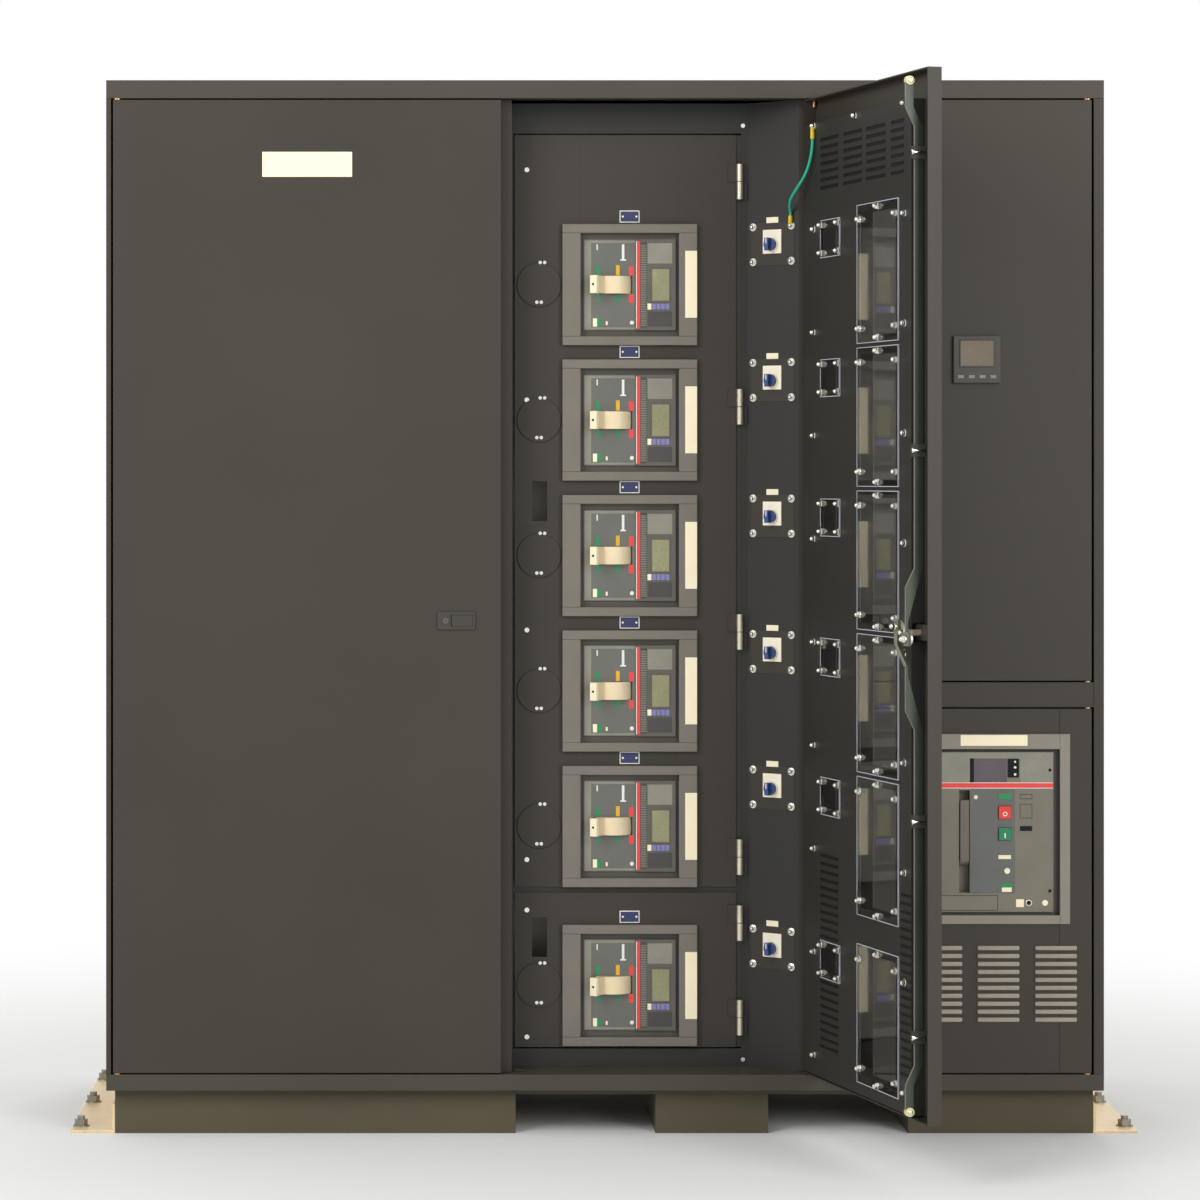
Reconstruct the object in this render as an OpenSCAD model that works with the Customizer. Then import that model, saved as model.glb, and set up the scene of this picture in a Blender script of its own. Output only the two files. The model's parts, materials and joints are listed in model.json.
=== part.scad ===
// Floor-standing automatic transfer switch in a three-bay steel cabinet.
// Millimetres, +Z up. The origin is on the floor under the middle of the cabinet, and the doors face -Y.

/* [Cabinet] */
// Width across the side panels
cab_w = 2032; // [1980:2:2120]
// Depth from the door faces to the rear covers
cab_d = 762; // [720:2:840]
// Height of the roof above the floor
cab_h = 2151; // [2145:1:2200]
// Thickness of the cabinet sheet
sheet = 3; // [2:0.5:4]
// Height of the roof rail
roof_h = 37; // [30:1:40]
// Height of the base rail
base_h = 33; // [25:1:36]
// Width of the side flange left of the doors
left_strip = 10; // [8:1:14]
// Width of the side flange right of the doors
right_strip = 21; // [16:1:28]
// Width of the runners that carry the base on the plinth
runner_w = 40; // [30:1:60]
// Inset of the runners from the plinth's front and rear
runner_in = 30; // [26:1:60]
// Distance of the partition from the mullion's edge
partition_in = 10; // [6:1:14]
// Depth of the hollow posts and of the side panels' rear flanges
post_d = 40; // [30:1:50]

/* [Plinth] */
// Height of the plinth
plinth_h = 93; // [85:1:100]
// Inset of the plinth from each cabinet side
plinth_inset = 15; // [5:1:40]
// Setback of the plinth behind the door faces, and at the rear
plinth_setback = 38; // [20:1:60]
// Thickness of the plinth plate
plinth_t = 6; // [4:1:8]
// Width of a fork pocket
pocket_w = 286; // [240:2:320]
// Height of a fork pocket
pocket_h = 80; // [65:1:82]
// Middle of the first fork pocket
pocket_x1 = -38; // [-80:1:0]
// Middle of the second fork pocket
pocket_x2 = 479; // [440:1:520]
// Width of a floor plate beside the plinth
plate_w = 91; // [85:1:110]
// Thickness of a floor plate
plate_t = 6; // [5:1:8]
// Height of a floor plate's upright leg
plate_leg = 60; // [40:1:80]
// Distance of the anchor holes from the plinth side
anchor_out = 74; // [55:1:75]
// Distance between the first and last anchor hole
anchor_span = 580; // [400:2:620]
// Radius of an anchor hole
anchor_r = 9; // [7:0.5:10]

/* [Doors] */
// Depth of a door pan
door_t = 28; // [24:1:32]
// Thickness of the door skin
skin = 2.5; // [2:0.5:3]
// Gap beside a door
door_gap = 4; // [4:0.5:6]
// Gap above and below a door
lift_gap = 3; // [2:0.5:4]
// Gap between the jamb and the centre door, for its swinging corner
swing_gap = 7; // [6:0.5:10]
// Gap between a closed door and the posts behind it
stop_gap = 3; // [2:0.5:5]
// Width of the left door
left_w = 790; // [760:1:800]
// Width of the centre door
centre_w = 642; // [634:1:650]
// Width of the jamb right of the centre door
jamb_w = 29; // [24:1:36]
// Bottom of the rail between the two right doors
rail_z = 874; // [860:1:900]
// Height of that rail
rail_h = 51; // [40:1:60]
// Inset of a door pivot from the door's edge and face
pivot = 8; // [8:0.5:9]
// Radius of a door pivot pin
pin_r = 4; // [3:0.5:4.5]
// Reach of a pivot pin past the door flange
pin_reach = 12; // [8:1:16]
// Angle of the open centre door
centre_open = 105; // [90:1:110]

/* [Latches] */
// Length of a latch case
latch_l = 77; // [74:1:84]
// Height of a latch case
latch_h = 36; // [34:1:40]
// Thickness of a latch case's flange
latch_t = 4; // [4:0.5:5]
// Depth of a latch case behind the door face
latch_d = 18; // [14:1:20]
// Width of the latch flange around the case body
latch_lip = 3; // [2:0.5:3]
// Distance of the left door's latch from its free edge
left_latch_in = 91; // [80:1:100]
// Distance of the centre door's latch from its free edge
centre_latch_in = 59; // [57:1:64]
// Distance of the right doors' latches from their free edges
right_latch_in = 75; // [60:1:80]
// Height of the latches on the tall doors
latch_z = 1050; // [1000:1:1100]
// Height of the upper right latch above its door's bottom edge
latch_up = 122; // [80:1:200]
// Length of a latch paddle
paddle_l = 40; // [36:1:42]
// Height of a latch paddle
paddle_h = 23; // [20:1:24]
// Lift of the paddle on the open centre door
paddle_lift = 70; // [0:1:70]
// Turn of the latch cam between locked and free
cam_turn = 50; // [40:1:60]
// Distance of the cam pins from the cam's middle
cam_r = 26; // [24:1:28]
// Radius of the cam shaft
shaft_r = 6; // [5:0.5:7]
// Radius of the cam pins
cam_pin_r = 4; // [3:0.5:5]
// Thickness of the cam plate
cam_t = 4; // [3:0.5:5]
// Width of the cam plate
cam_w = 24; // [20:1:26]
// Depth of a latch rod, which stands on edge
rod_w = 16; // [12:1:18]
// Thickness of a latch rod
rod_t = 5; // [4:0.5:6]
// Depth of the rods' back edge below the liner
rod_sink = 6; // [2:1:10]
// Distance of the rods from the centre door's pivot
rod_out = 597; // [594:1:600]
// Radius of the rollers on the rod ends
glide_r = 8; // [7:0.5:9]
// Width of the rollers
glide_w = 12; // [10:1:16]
// Middle of the upper roller below the door's top edge
glide_top = 23; // [20:1:24]
// Middle of the lower roller above the door's bottom edge
glide_bottom = 22; // [20:1:24]
// Length of a rod guide
guide_l = 24; // [20:1:30]
// Wall of a rod guide
guide_wall = 4; // [3:0.5:6]
// End guide below the upper rod's end
guide_top = 135; // [100:5:200]
// Second guide below the upper rod's end
guide_above = 695; // [650:5:750]
// Second guide above the lower rod's end
guide_below = 545; // [500:5:600]
// End guide above the lower rod's end
guide_bottom = 140; // [100:5:200]
// Straight neck beside a rod's slotted end
rod_neck = 20; // [18:1:30]
// Height of the lower rod's sideways bend
rod_bend = 40; // [36:1:60]
// Length of a rod's tapered end, up to its step
blade_l = 84; // [60:1:100]
// Step of the rod ends into the cabinet
rod_step = 18; // [14:1:20]
// Height of the step in a rod end
step_l = 36; // [30:1:50]
// Straight length of a rod past its step
tip_l = 50; // [40:1:60]

/* [Centre door windows] */
// Thickness of the liner plate
liner_t = 2; // [1.5:0.5:3]
// Inset of the liner from the door's hinge and bottom edges
liner_in = 6; // [4:1:10]
// Inset of the liner from the door's top edge
liner_top = 52; // [45:1:70]
// Liner's free edge from the door's pivot
liner_out = 560; // [552:1:566]
// Thickness of a clear pane
pane_t = 3; // [2:0.5:4]
// Overlap of a pane on its cut-out
pane_lap = 14; // [10:1:16]
// Width of a large pane
large_w = 210; // [180:2:214]
// Height of a large pane
large_h = 272; // [220:2:274]
// Middle of the large panes from the door's pivot
large_out = 397; // [375:1:400]
// Width of a small pane
small_w = 104; // [90:2:110]
// Height of a small pane
small_h = 76; // [70:2:100]
// Middle of the small panes from the door's pivot
small_out = 148; // [130:1:155]

/* [Dead front] */
// Distance of the dead front behind the door faces
dead_in = 105; // [98:1:115]
// Left edge of the inner doors behind the mullion
inner_gap = 8; // [6:1:12]
// Width of the inner doors
inner_w = 457; // [450:1:460]
// Bottom of the upper inner door
upper_z = 497; // [495:1:499]
// Height of the upper inner door
upper_h = 1552; // [1540:1:1560]
// Bottom of the lower inner door
lower_z = 166; // [160:1:170]
// Height of the lower inner door
lower_h = 319; // [310:1:322]
// Width of the hinge stile beside the inner doors
stile_w = 13; // [10:1:16]
// Radius of an inner hinge knuckle
knuckle_r = 6; // [5:0.5:6.5]
// Radius of an inner hinge pin
inner_pin_r = 3; // [2:0.25:3.5]
// Length of an inner hinge
hinge_l = 74; // [60:1:80]
// Middle of the end hinges from an inner door's end
hinge_in = 62; // [45:1:75]
// Middle of the upper inner door's top hinge from its top edge
hinge_top = 97; // [60:1:110]
// Width of an inner hinge's leaf on the door
leaf_w = 18; // [12:1:24]
// Width of a pull slot
pull_w = 31; // [26:1:36]
// Height of a pull slot
pull_h = 82; // [70:1:90]
// Middle of the pull slots from the inner doors' left edge
pull_in = 51; // [45:1:56]
// Height of the upper pull slot
pull_z1 = 1293; // [1280:1:1310]
// Height of the lower pull slot
pull_z2 = 393; // [380:1:400]
// Radius of a port cover
port_r = 46; // [40:1:48]
// Thickness of a port cover
port_t = 3; // [2:0.5:4]
// Middle of the port covers from the inner doors' left edge
port_in = 50; // [48:1:56]

/* [Breakers] */
// Middle of the breakers from the inner doors' left edge
breaker_in = 237; // [232:1:242]
// Height of the lowest breaker
breaker_z0 = 294; // [285:1:300]
// Height of the second breaker
breaker_z1 = 622; // [620:1:630]
// Step between the five upper breakers
breaker_step = 279.4; // [275:0.1:282]
// Width of a bezel
bezel_w = 278; // [270:1:284]
// Height of a bezel
bezel_h = 250; // [244:1:256]
// Thickness of a bezel
bezel_t = 12; // [8:1:16]
// Width of a bezel's opening
open_w = 203; // [200:1:208]
// Height of a bezel's opening
open_h = 213; // [206:1:218]
// Width of a breaker
breaker_w = 190; // [186:1:194]
// Height of a breaker
breaker_h = 188; // [180:1:196]
// Depth of a breaker case
breaker_d = 156; // [150:1:200]
// Thickness of a breaker face
face_t = 10; // [8:1:12]
// Width of a breaker face
face_w = 108; // [104:1:112]
// Stand of the trip unit proud of the face
trip_out = 4; // [2:1:6]
// Middle of the toggle from the breaker's left side
toggle_in = 61; // [58:1:64]
// Radius of the toggle's drum
drum_r = 42; // [40:1:44]
// Depth of the toggle's pivot behind the face
drum_in = 26; // [24:1:28]
// Height of the toggle
toggle_h = 36; // [30:1:40]
// Reach of the toggle's arm from its pivot
arm_r = 74; // [66:1:78]
// Thickness of the toggle's arm
arm_t = 15; // [12:1:18]
// Radius of the toggle's trunnions
trunnion_r = 4; // [3:0.5:5]
// Length of a trunnion
trunnion_l = 5; // [4:0.5:8]
// Lean of the toggle to the left at rest
toggle_lean = 35; // [30:1:38]

/* [Selectors] */
// Width of the splayed strip across the opening
splay_w = 97; // [90:1:100]
// Height of a selector above its breaker
selector_up = 81; // [78:1:95]
// Side of a selector's legend plate
legend_w = 44; // [40:1:52]
// Height of a selector's legend plate
legend_h = 49; // [46:1:60]
// Middle of the legend plate above the knob
legend_up = 6; // [0:1:10]
// Thickness of a legend plate
legend_t = 2; // [1:0.5:3]
// Radius of the collar under a knob
collar_r = 15; // [12:0.5:18]
// Thickness of the collar under a knob
collar_t = 4; // [3:0.5:5]
// Radius of a knob
knob_r = 13; // [11:0.5:15]
// Height of a knob's skirt
knob_h = 8; // [6:0.5:10]
// Height of a knob's grip above its skirt
grip_h = 11; // [8:0.5:14]
// Radius of a selector's spindle
spindle_r = 3; // [2:0.25:3.5]

/* [Air breaker] */
// Width of the air breaker's face
acb_w = 276; // [270:1:280]
// Height of the air breaker's face
acb_h = 326; // [318:1:330]
// Right edge of the air breaker from the right doors' right edge
acb_in = 78; // [72:1:84]
// Bottom of the air breaker above the lower door's bottom edge
acb_up = 328; // [320:1:335]
// Depth of the air breaker's case
acb_d = 232; // [200:1:250]
// Depth of the air breaker's front moulding
acb_face_t = 27; // [25:1:28]
// Setback of the moulding behind the door face
acb_set = 2; // [1:0.5:4]
// Width of the gap between the air breaker and its flange
acb_gap = 12; // [10:0.5:13]
// Width of the flange's side bars
flange_w = 21; // [16:1:26]
// Height of the flange's top bar
flange_top = 31; // [24:1:36]
// Height of the flange's bottom bar
flange_low = 18; // [14:1:24]
// Thickness of the flange
flange_t = 6; // [4:0.5:8]
// Middle of the charging lever from the face's left side
lever_in = 95; // [88:1:100]
// Height of the lever's pivot above the face's bottom edge
lever_up = 103; // [95:1:112]
// Width of the charging lever
lever_w = 18; // [15:1:20]
// Length of the charging lever
lever_l = 125; // [110:1:130]
// Reach of the lever's slot below its pivot
slot_below = 64; // [40:1:70]
// Reach of the lever's slot above the lever
slot_above = 20; // [10:1:25]
// Middle of the push buttons from the face's left side
button_in = 177; // [165:1:190]
// Height of the opening button above the face's bottom edge
off_up = 203; // [198:1:215]
// Height of the closing button above the face's bottom edge
on_up = 159; // [150:1:164]
// Side of a push button
button_w = 25; // [20:1:28]
// Travel of a push button
press = 4; // [3:0.5:5]

/* [Meter] */
// Side of the meter's bezel
meter_w = 96; // [94:1:100]
// Side of the meter's body in its cut-out
meter_body = 91; // [88:1:91.5]
// Stand of the meter's bezel off the door
meter_t = 9; // [6:1:12]
// Depth of the meter's body behind the door face
meter_d = 50; // [40:1:70]
// Middle of the meter from the right doors' left edge
meter_in = 281; // [260:1:300]
// Height of the meter above the upper door's bottom edge
meter_up = 654; // [600:1:700]

/* [Inside] */
// Distance of the left mounting pan behind the doors
left_pan_in = 390; // [340:2:420]
// Height of the lowest heat-sink stack above the base
stack_up = 90; // [60:1:100]
// Width of a heat-sink stack
stack_w = 560; // [480:2:620]
// Height of a heat-sink stack
stack_h = 400; // [340:2:420]
// Step between the stacks
stack_step = 470; // [450:2:480]
// Depth of a heat-sink stack's fins
fin_d = 180; // [120:2:220]
// Number of fins on a stack
fin_n = 12; // [6:1:16]
// Width of the control unit
control_w = 480; // [400:2:560]
// Height of the control unit
control_h = 260; // [200:2:280]
// Depth of the control unit
control_d = 140; // [100:2:180]
// Width of a busbar
bus_w = 60; // [40:2:70]
// Thickness of a busbar
bus_t = 10; // [6:1:12]
// Distance of the busbars from their mounting pan
bus_gap = 40; // [30:1:60]
// Radius of a busbar insulator
insulator_r = 18; // [12:1:19]
// Step between the busbars
bus_step = 110; // [90:2:130]

/* [Hidden] */
$fn = 48;
// Running clearance of a pin in a moving bore, and its clearance in a fixed seat
run = 0.05;
seat = 0.02;
// Clearance of pieces let into a cut-out, and of moving flat faces
fit = 0.5;
slide = 0.4;
// Seam between the welded strips of a frame
seam = 0.1;
far = 1;

// Heights
base_z = plinth_h + base_h;
roof_z = cab_h - roof_h;
door_z0 = base_z + lift_gap;
door_z1 = roof_z - lift_gap;
rail_top = rail_z + rail_h;
low_door_z1 = rail_z - lift_gap;
up_door_z0 = rail_top + lift_gap;

// Depths
y_front = -cab_d / 2;
y_rear = cab_d / 2;
y_door = y_front + door_t;
y_stop = y_door + stop_gap;
y_pivot = y_front + pivot;
y_liner = y_door + liner_t;
y_skin = y_front + skin + seam;
y_rod = y_liner - rod_sink;
y_run = y_rod + rod_w;
y_nose = y_run + rod_step;
y_tip = y_nose - rod_t;
y_cam = y_tip - cam_t - 1;
y_glide = y_nose - rod_w / 2;
keeper_play = 1.5;
keeper_gap = 4;
y_lip = y_glide - glide_r - keeper_play;
y_dead = y_front + dead_in;

// Places across the front
left_x0 = -cab_w / 2 + left_strip + door_gap;
left_x1 = left_x0 + left_w;
centre_x0 = left_x1 + door_gap + 1;
centre_x1 = centre_x0 + centre_w;
jamb_x0 = centre_x1 + swing_gap;
jamb_x1 = jamb_x0 + jamb_w;
right_x0 = jamb_x1 + door_gap;
right_x1 = cab_w / 2 - right_strip - door_gap;
left_pivot = left_x0 + pivot;
centre_pivot = centre_x1 - pivot;
right_pivot = right_x1 - pivot;
mullion_lap = 18;
mullion_x0 = left_x1 - mullion_lap;
mullion_x1 = centre_x0 + mullion_lap;
inner_x0 = mullion_x1 + inner_gap;
inner_x1 = inner_x0 + inner_w;
hinge_x = inner_x1 + knuckle_r + 1;
stile_x0 = hinge_x + 3;
stile_x1 = stile_x0 + stile_w;
splay_x1 = stile_x1 + splay_w;
partition_x1 = mullion_x1 - sheet - partition_in;
partition_x2 = jamb_x0;
side_x = cab_w / 2 - sheet;

// Breakers and selectors
breaker_x = inner_x0 + breaker_in;
breaker_zs = [for (i = [0:5]) i == 0 ? breaker_z0 : breaker_z1 + (i - 1) * breaker_step];
y_face = y_dead + fit + 3;
y_case = y_face + face_t;
y_pan = y_case + breaker_d;
toggle_x = breaker_x - breaker_w / 2 + toggle_in;
drum_back = 12;
y_toggle = y_face + drum_in;
splay_y1 = y_stop;
splay_angle = atan2(y_dead - splay_y1, splay_w);
selector_x = (stile_x1 + splay_x1) / 2;
selector_y = (y_dead + splay_y1) / 2;
knob_z = legend_t + collar_t + slide;

// Inner hinges
y_hinge = y_dead - knuckle_r - 1;
leaf_t = 3;
upper_hinges = [for (i = [0:3]) upper_z + hinge_in + i * (upper_h - hinge_in - hinge_top) / 3];
lower_hinges = [for (i = [0:1]) lower_z + hinge_in + i * (lower_h - 2 * hinge_in)];

// Latch parts: the paddle's barrel turns in the plane of the door face
barrel_r = latch_t;
barrel_u = latch_l / 2 - latch_lip - paddle_l - 2;
pocket_d = barrel_r + 1;
latch_pin_r = 2;
cam_x = centre_x0 + centre_latch_in;
rod_x = centre_pivot - rod_out;
rod_drop = cam_r * sin(cam_turn / 2);
slot_w = cam_r * (1 - cos(cam_turn / 2)) + 2 * cam_pin_r + 1;
slot_h = 2 * (cam_pin_r + 0.35);
slot_mid = cam_r * (1 + cos(cam_turn / 2)) / 2;
lug_w = 22;
lug_h = 26;
glide_z1 = door_z1 - glide_top;
glide_z0 = door_z0 + glide_bottom;
guide_zs = [
    glide_z1 - guide_top, glide_z1 - guide_above, glide_z0 + guide_below, glide_z0 + guide_bottom
];

// Air breaker
acb_x1 = right_x1 - acb_in;
acb_x0 = acb_x1 - acb_w;
acb_z0 = door_z0 + acb_up;
acb_z1 = acb_z0 + acb_h;
y_acb = y_front + acb_set;
y_acb_case = y_acb + acb_face_t;
y_right_pan = y_acb_case + acb_d;
lever_x = acb_x0 + lever_in;
lever_z = acb_z0 + lever_up;
lever_pivot_in = 13;
lever_slot_w = lever_w + 4;
lever_slot_d = 24;
button_x = acb_x0 + button_in;
off_z = acb_z0 + off_up;
on_z = acb_z0 + on_up;

// Equipment behind the left door
y_left_pan = y_door + left_pan_in;
left_mid = (mullion_x0 + left_x0) / 2;
stack_z0 = base_z + stack_up;

// Bonding wire from the door's stud to the splayed strip's stud
wire_r = 3;
wire_sides = 8;
lug_l = 16;
lug_drop = 12;
stud_r = 3;
wire_points = [
    [416, -438, 2032], [416, -438, 2018], [415, -437, 2004], [413, -434, 1990],
    [410, -430, 1976], [406, -424, 1963], [401, -417, 1951], [395, -409, 1940],
    [389, -400, 1930], [384, -391, 1921], [380, -381, 1913], [378, -371, 1906],
    [378, -362, 1899], [379, -353, 1892], [381, -346, 1883], [381, -344, 1872]
];

paint = [0.2, 0.19, 0.17];
zinc = [0.62, 0.62, 0.58];
grey = [0.45, 0.43, 0.4];

// Shared shapes
module bar(x0, x1, y0, y1, z0, z1) {
    translate([x0, y0, z0]) cube([x1 - x0, y1 - y0, z1 - z0]);
}

// A strip of a built-up frame, short of its neighbours by half a seam
module strip(x0, x1, y0, y1, z0, z1) {
    bar(x0 + seam / 2, x1 - seam / 2, y0, y1, z0 + seam / 2, z1 - seam / 2);
}

module tube(x0, x1, y0, y1, z0, z1) {
    difference() {
        bar(x0, x1, y0, y1, z0, z1);
        bar(x0 + sheet, x1 - sheet, y0 + sheet, y1 - sheet, z0 - far, z1 + far);
    }
}

module pan(x0, x1, z0, z1) {
    difference() {
        bar(x0, x1, y_front, y_door, z0, z1);
        bar(x0 + skin, x1 - skin, y_front + skin, y_door + far, z0 + skin, z1 - skin);
    }
}

module pivot_bores(x, z0, z1) {
    translate([x, y_pivot, z0 - far]) cylinder(r = pin_r + run, h = skin + 2 * far);
    translate([x, y_pivot, z1 - skin - far]) cylinder(r = pin_r + run, h = skin + 2 * far);
}

// A bore through a frame plate that starts at height z
module seat_bore(x, z) {
    translate([x, y_pivot, z - far]) cylinder(r = pin_r + seat, h = sheet + 2 * far);
}

// A pivot pin seated in the frame face at height z, reaching up (dir 1) or down (dir -1) into a door
module door_pin(x, z, dir) {
    translate([x, y_pivot, z]) mirror([0, 0, dir < 0 ? 1 : 0]) {
        translate([0, 0, -sheet]) cylinder(r = pin_r, h = sheet + lift_gap + skin + pin_reach);
        cylinder(r = pivot, h = lift_gap - slide);
    }
}

// Places a latch: side 1 has the door's free edge towards +X, side -1 towards -X
module latch_at(x, z, side) {
    translate([x, y_front, z]) mirror([side < 0 ? 1 : 0, 0, 0]) children();
}

module latch_cutout() {
    w = latch_l / 2 - latch_lip + fit;
    h = latch_h / 2 - latch_lip + fit;
    bar(-w, w, -far, skin + far, -h, h);
}

module latch_case() {
    w = latch_l / 2;
    h = latch_h / 2;
    pocket_h2 = paddle_h / 2 + slide;
    difference() {
        union() {
            bar(-w, w, -latch_t, 0, -h, h);
            bar(-w + latch_lip, w - latch_lip, 0, latch_d, -h + latch_lip, h - latch_lip);
        }
        bar(barrel_u - barrel_r - slide, w - latch_lip - 1.5, -latch_t - far, pocket_d,
            -pocket_h2, pocket_h2);
        translate([barrel_u, 0, -h + latch_lip + 1])
            cylinder(r = latch_pin_r + run, h = 2 * (h - latch_lip - 1));
    }
}

module latch_paddle(lift) {
    h = latch_h / 2;
    translate([barrel_u, 0, 0]) rotate([0, 0, -lift]) {
        bar(0, paddle_l, -latch_t, -latch_t + 3.6, -paddle_h / 2, paddle_h / 2);
        translate([0, 0, -paddle_h / 2]) cylinder(r = barrel_r, h = paddle_h);
        translate([0, 0, -h + latch_lip + 1.4]) cylinder(r = latch_pin_r, h = 2 * (h - latch_lip - 1.4));
    }
}

// Turns what is drawn on the closed centre door to where the open door is
module on_centre_door() {
    translate([centre_pivot, y_pivot, 0]) rotate([0, 0, centre_open]) translate([-centre_pivot, -y_pivot, 0])
        children();
}

// Places what is drawn about a selector's axis, with +Z out of the splayed strip
module on_splay(z) {
    translate([selector_x, selector_y, z]) rotate([0, 0, -splay_angle]) rotate([90, 0, 0]) children();
}

// Carcass
module plinth() {
    x = cab_w / 2 - plinth_inset;
    y = cab_d / 2 - plinth_setback;
    edges = [-x, pocket_x1 - pocket_w / 2, pocket_x1 + pocket_w / 2,
             pocket_x2 - pocket_w / 2, pocket_x2 + pocket_w / 2, x];
    color(paint) {
        strip(-x, x, -y + plinth_t, y - plinth_t, plinth_h - plinth_t, plinth_h);
        strip(-x, x, -y, -y + plinth_t, pocket_h, plinth_h);
        strip(-x, x, y - plinth_t, y, pocket_h, plinth_h);
        for (i = [0:2:4]) {
            x0 = edges[i];
            x1 = edges[i + 1];
            bar(x0, x1, -y, -y + plinth_t, 0, pocket_h);
            bar(x0, x1, y - plinth_t, y, 0, pocket_h);
            for (side = [x0, x1 - plinth_t])
                bar(side, side + plinth_t, -y + plinth_t + seam, y - plinth_t - seam, 0, plinth_h - plinth_t);
        }
    }
}

module floor_plates() {
    x = cab_w / 2 - plinth_inset;
    y = cab_d / 2 - plinth_setback;
    color([0.85, 0.8, 0.7]) for (side = [0, 1]) mirror([side, 0, 0]) {
        difference() {
            bar(x, x + plate_w, -y, y, 0, plate_t);
            for (i = [-1:1])
                translate([x + anchor_out, i * anchor_span / 2, -far])
                    cylinder(r = anchor_r, h = plate_t + 2 * far);
        }
        bar(x, x + plate_t, -y, y, plate_t + seam, plate_leg);
    }
}

module base_frame() {
    w = cab_w / 2;
    color(paint) {
        difference() {
            bar(-w, w, y_front, y_rear, base_z - sheet, base_z);
            for (x = [left_pivot, centre_pivot, right_pivot]) seat_bore(x, base_z - sheet);
            bar(rod_x - glide_w / 2 - keeper_gap, rod_x + glide_w / 2 + keeper_gap,
                y_lip, y_glide + glide_r + keeper_gap, base_z - sheet - far, base_z + far);
        }
        strip(-w, w, y_front, y_front + sheet, plinth_h, base_z - sheet);
        strip(-w, w, y_rear - sheet, y_rear, plinth_h, base_z - sheet);
        for (x = [-w, w - sheet])
            strip(x, x + sheet, y_front + sheet + seam, y_rear - sheet - seam, plinth_h, base_z - sheet);
        for (side = [-1, 1]) {
            y = side * (cab_d / 2 - plinth_setback - runner_in - runner_w / 2);
            strip(-w + plinth_inset, w - plinth_inset, y - runner_w / 2, y + runner_w / 2,
                plinth_h, base_z - sheet);
        }
    }
}

module roof_cap() {
    w = cab_w / 2;
    color(paint) {
        bar(-w, w, y_front, y_rear, cab_h - sheet, cab_h);
        difference() {
            union() {
                strip(-w, w, y_front, y_front + sheet, roof_z, cab_h - sheet);
                strip(-w + sheet, w - sheet, y_front, y_lip, roof_z, roof_z + sheet);
            }
            for (x = [left_pivot, centre_pivot, right_pivot]) seat_bore(x, roof_z);
        }
        strip(-w, w, y_rear - sheet, y_rear, roof_z, cab_h - sheet);
        for (x = [-w, w - sheet])
            strip(x, x + sheet, y_front + sheet + seam, y_rear - sheet - seam, roof_z, cab_h - sheet);
    }
}

module side_panel(strip) {
    w = cab_w / 2;
    bar(-w, -w + sheet, y_front, y_rear - sheet, base_z, roof_z);
    bar(-w + sheet, -w + strip, y_front, y_front + sheet, base_z, roof_z);
    bar(-w + sheet, -w + post_d, y_rear - 2 * sheet, y_rear - sheet, base_z, roof_z);
}

module side_panels() {
    color(paint) {
        side_panel(left_strip);
        mirror([1, 0, 0]) side_panel(right_strip);
    }
}

module rear_covers() {
    w = cab_w / 2;
    edges = [-w, partition_x1 + sheet / 2, partition_x2 + sheet / 2, w];
    color(paint) for (i = [0:2])
        bar(edges[i] + (i > 0 ? 1 : 0), edges[i + 1] - (i < 2 ? 1 : 0), y_rear - sheet, y_rear,
            base_z, roof_z);
}

module front_frame() {
    color(paint) {
        tube(mullion_x0, mullion_x1, y_stop, y_stop + post_d, base_z, roof_z);
        tube(jamb_x0, jamb_x1, y_front, y_stop + post_d, base_z, roof_z);
        strip(splay_x1, jamb_x0, y_stop, y_stop + sheet, base_z, roof_z);
        difference() {
            strip(jamb_x1, cab_w / 2 - right_strip, y_front, y_stop, rail_z, rail_top);
            bar(jamb_x1 - far, cab_w / 2, y_front + sheet, y_stop + far, rail_z + sheet, rail_top - sheet);
            seat_bore(right_pivot, rail_z);
            seat_bore(right_pivot, rail_top - sheet);
        }
    }
}

module bay_partitions() {
    color(paint) {
        bar(partition_x1, partition_x1 + sheet, y_stop + post_d, y_rear - sheet, base_z, roof_z);
        bar(partition_x2, partition_x2 + sheet, y_stop + post_d, y_rear - sheet, base_z, roof_z);
    }
}

module mounting_pans() {
    color(zinc) {
        bar(-side_x, partition_x1, y_left_pan, y_left_pan + sheet, base_z, roof_z);
        bar(partition_x1 + sheet, partition_x2, y_pan, y_pan + sheet, base_z, roof_z);
        bar(partition_x2 + sheet, side_x, y_right_pan, y_right_pan + sheet, base_z, roof_z);
    }
}

module hinge_leaf(x0, x1, z0) {
    difference() {
        union() {
            bar(x0, x1, y_dead - leaf_t, y_dead, z0, z0 + hinge_l / 2 - slide / 2);
            translate([hinge_x, y_hinge, z0]) cylinder(r = knuckle_r, h = hinge_l / 2 - slide / 2);
            bar(max(x0, hinge_x - knuckle_r), min(x1, hinge_x + knuckle_r), y_hinge, y_dead - 1,
                z0, z0 + hinge_l / 2 - slide / 2);
        }
        translate([hinge_x, y_hinge, z0 - far])
            cylinder(r = inner_pin_r + run, h = hinge_l / 2 + 2 * far);
    }
}

module frame_leaves(hinges) {
    for (z = hinges) hinge_leaf(hinge_x, stile_x1, z - hinge_l / 2);
}

module door_leaves(hinges) {
    for (z = hinges) hinge_leaf(hinge_x - knuckle_r - leaf_w, hinge_x, z + slide / 2);
}

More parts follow.
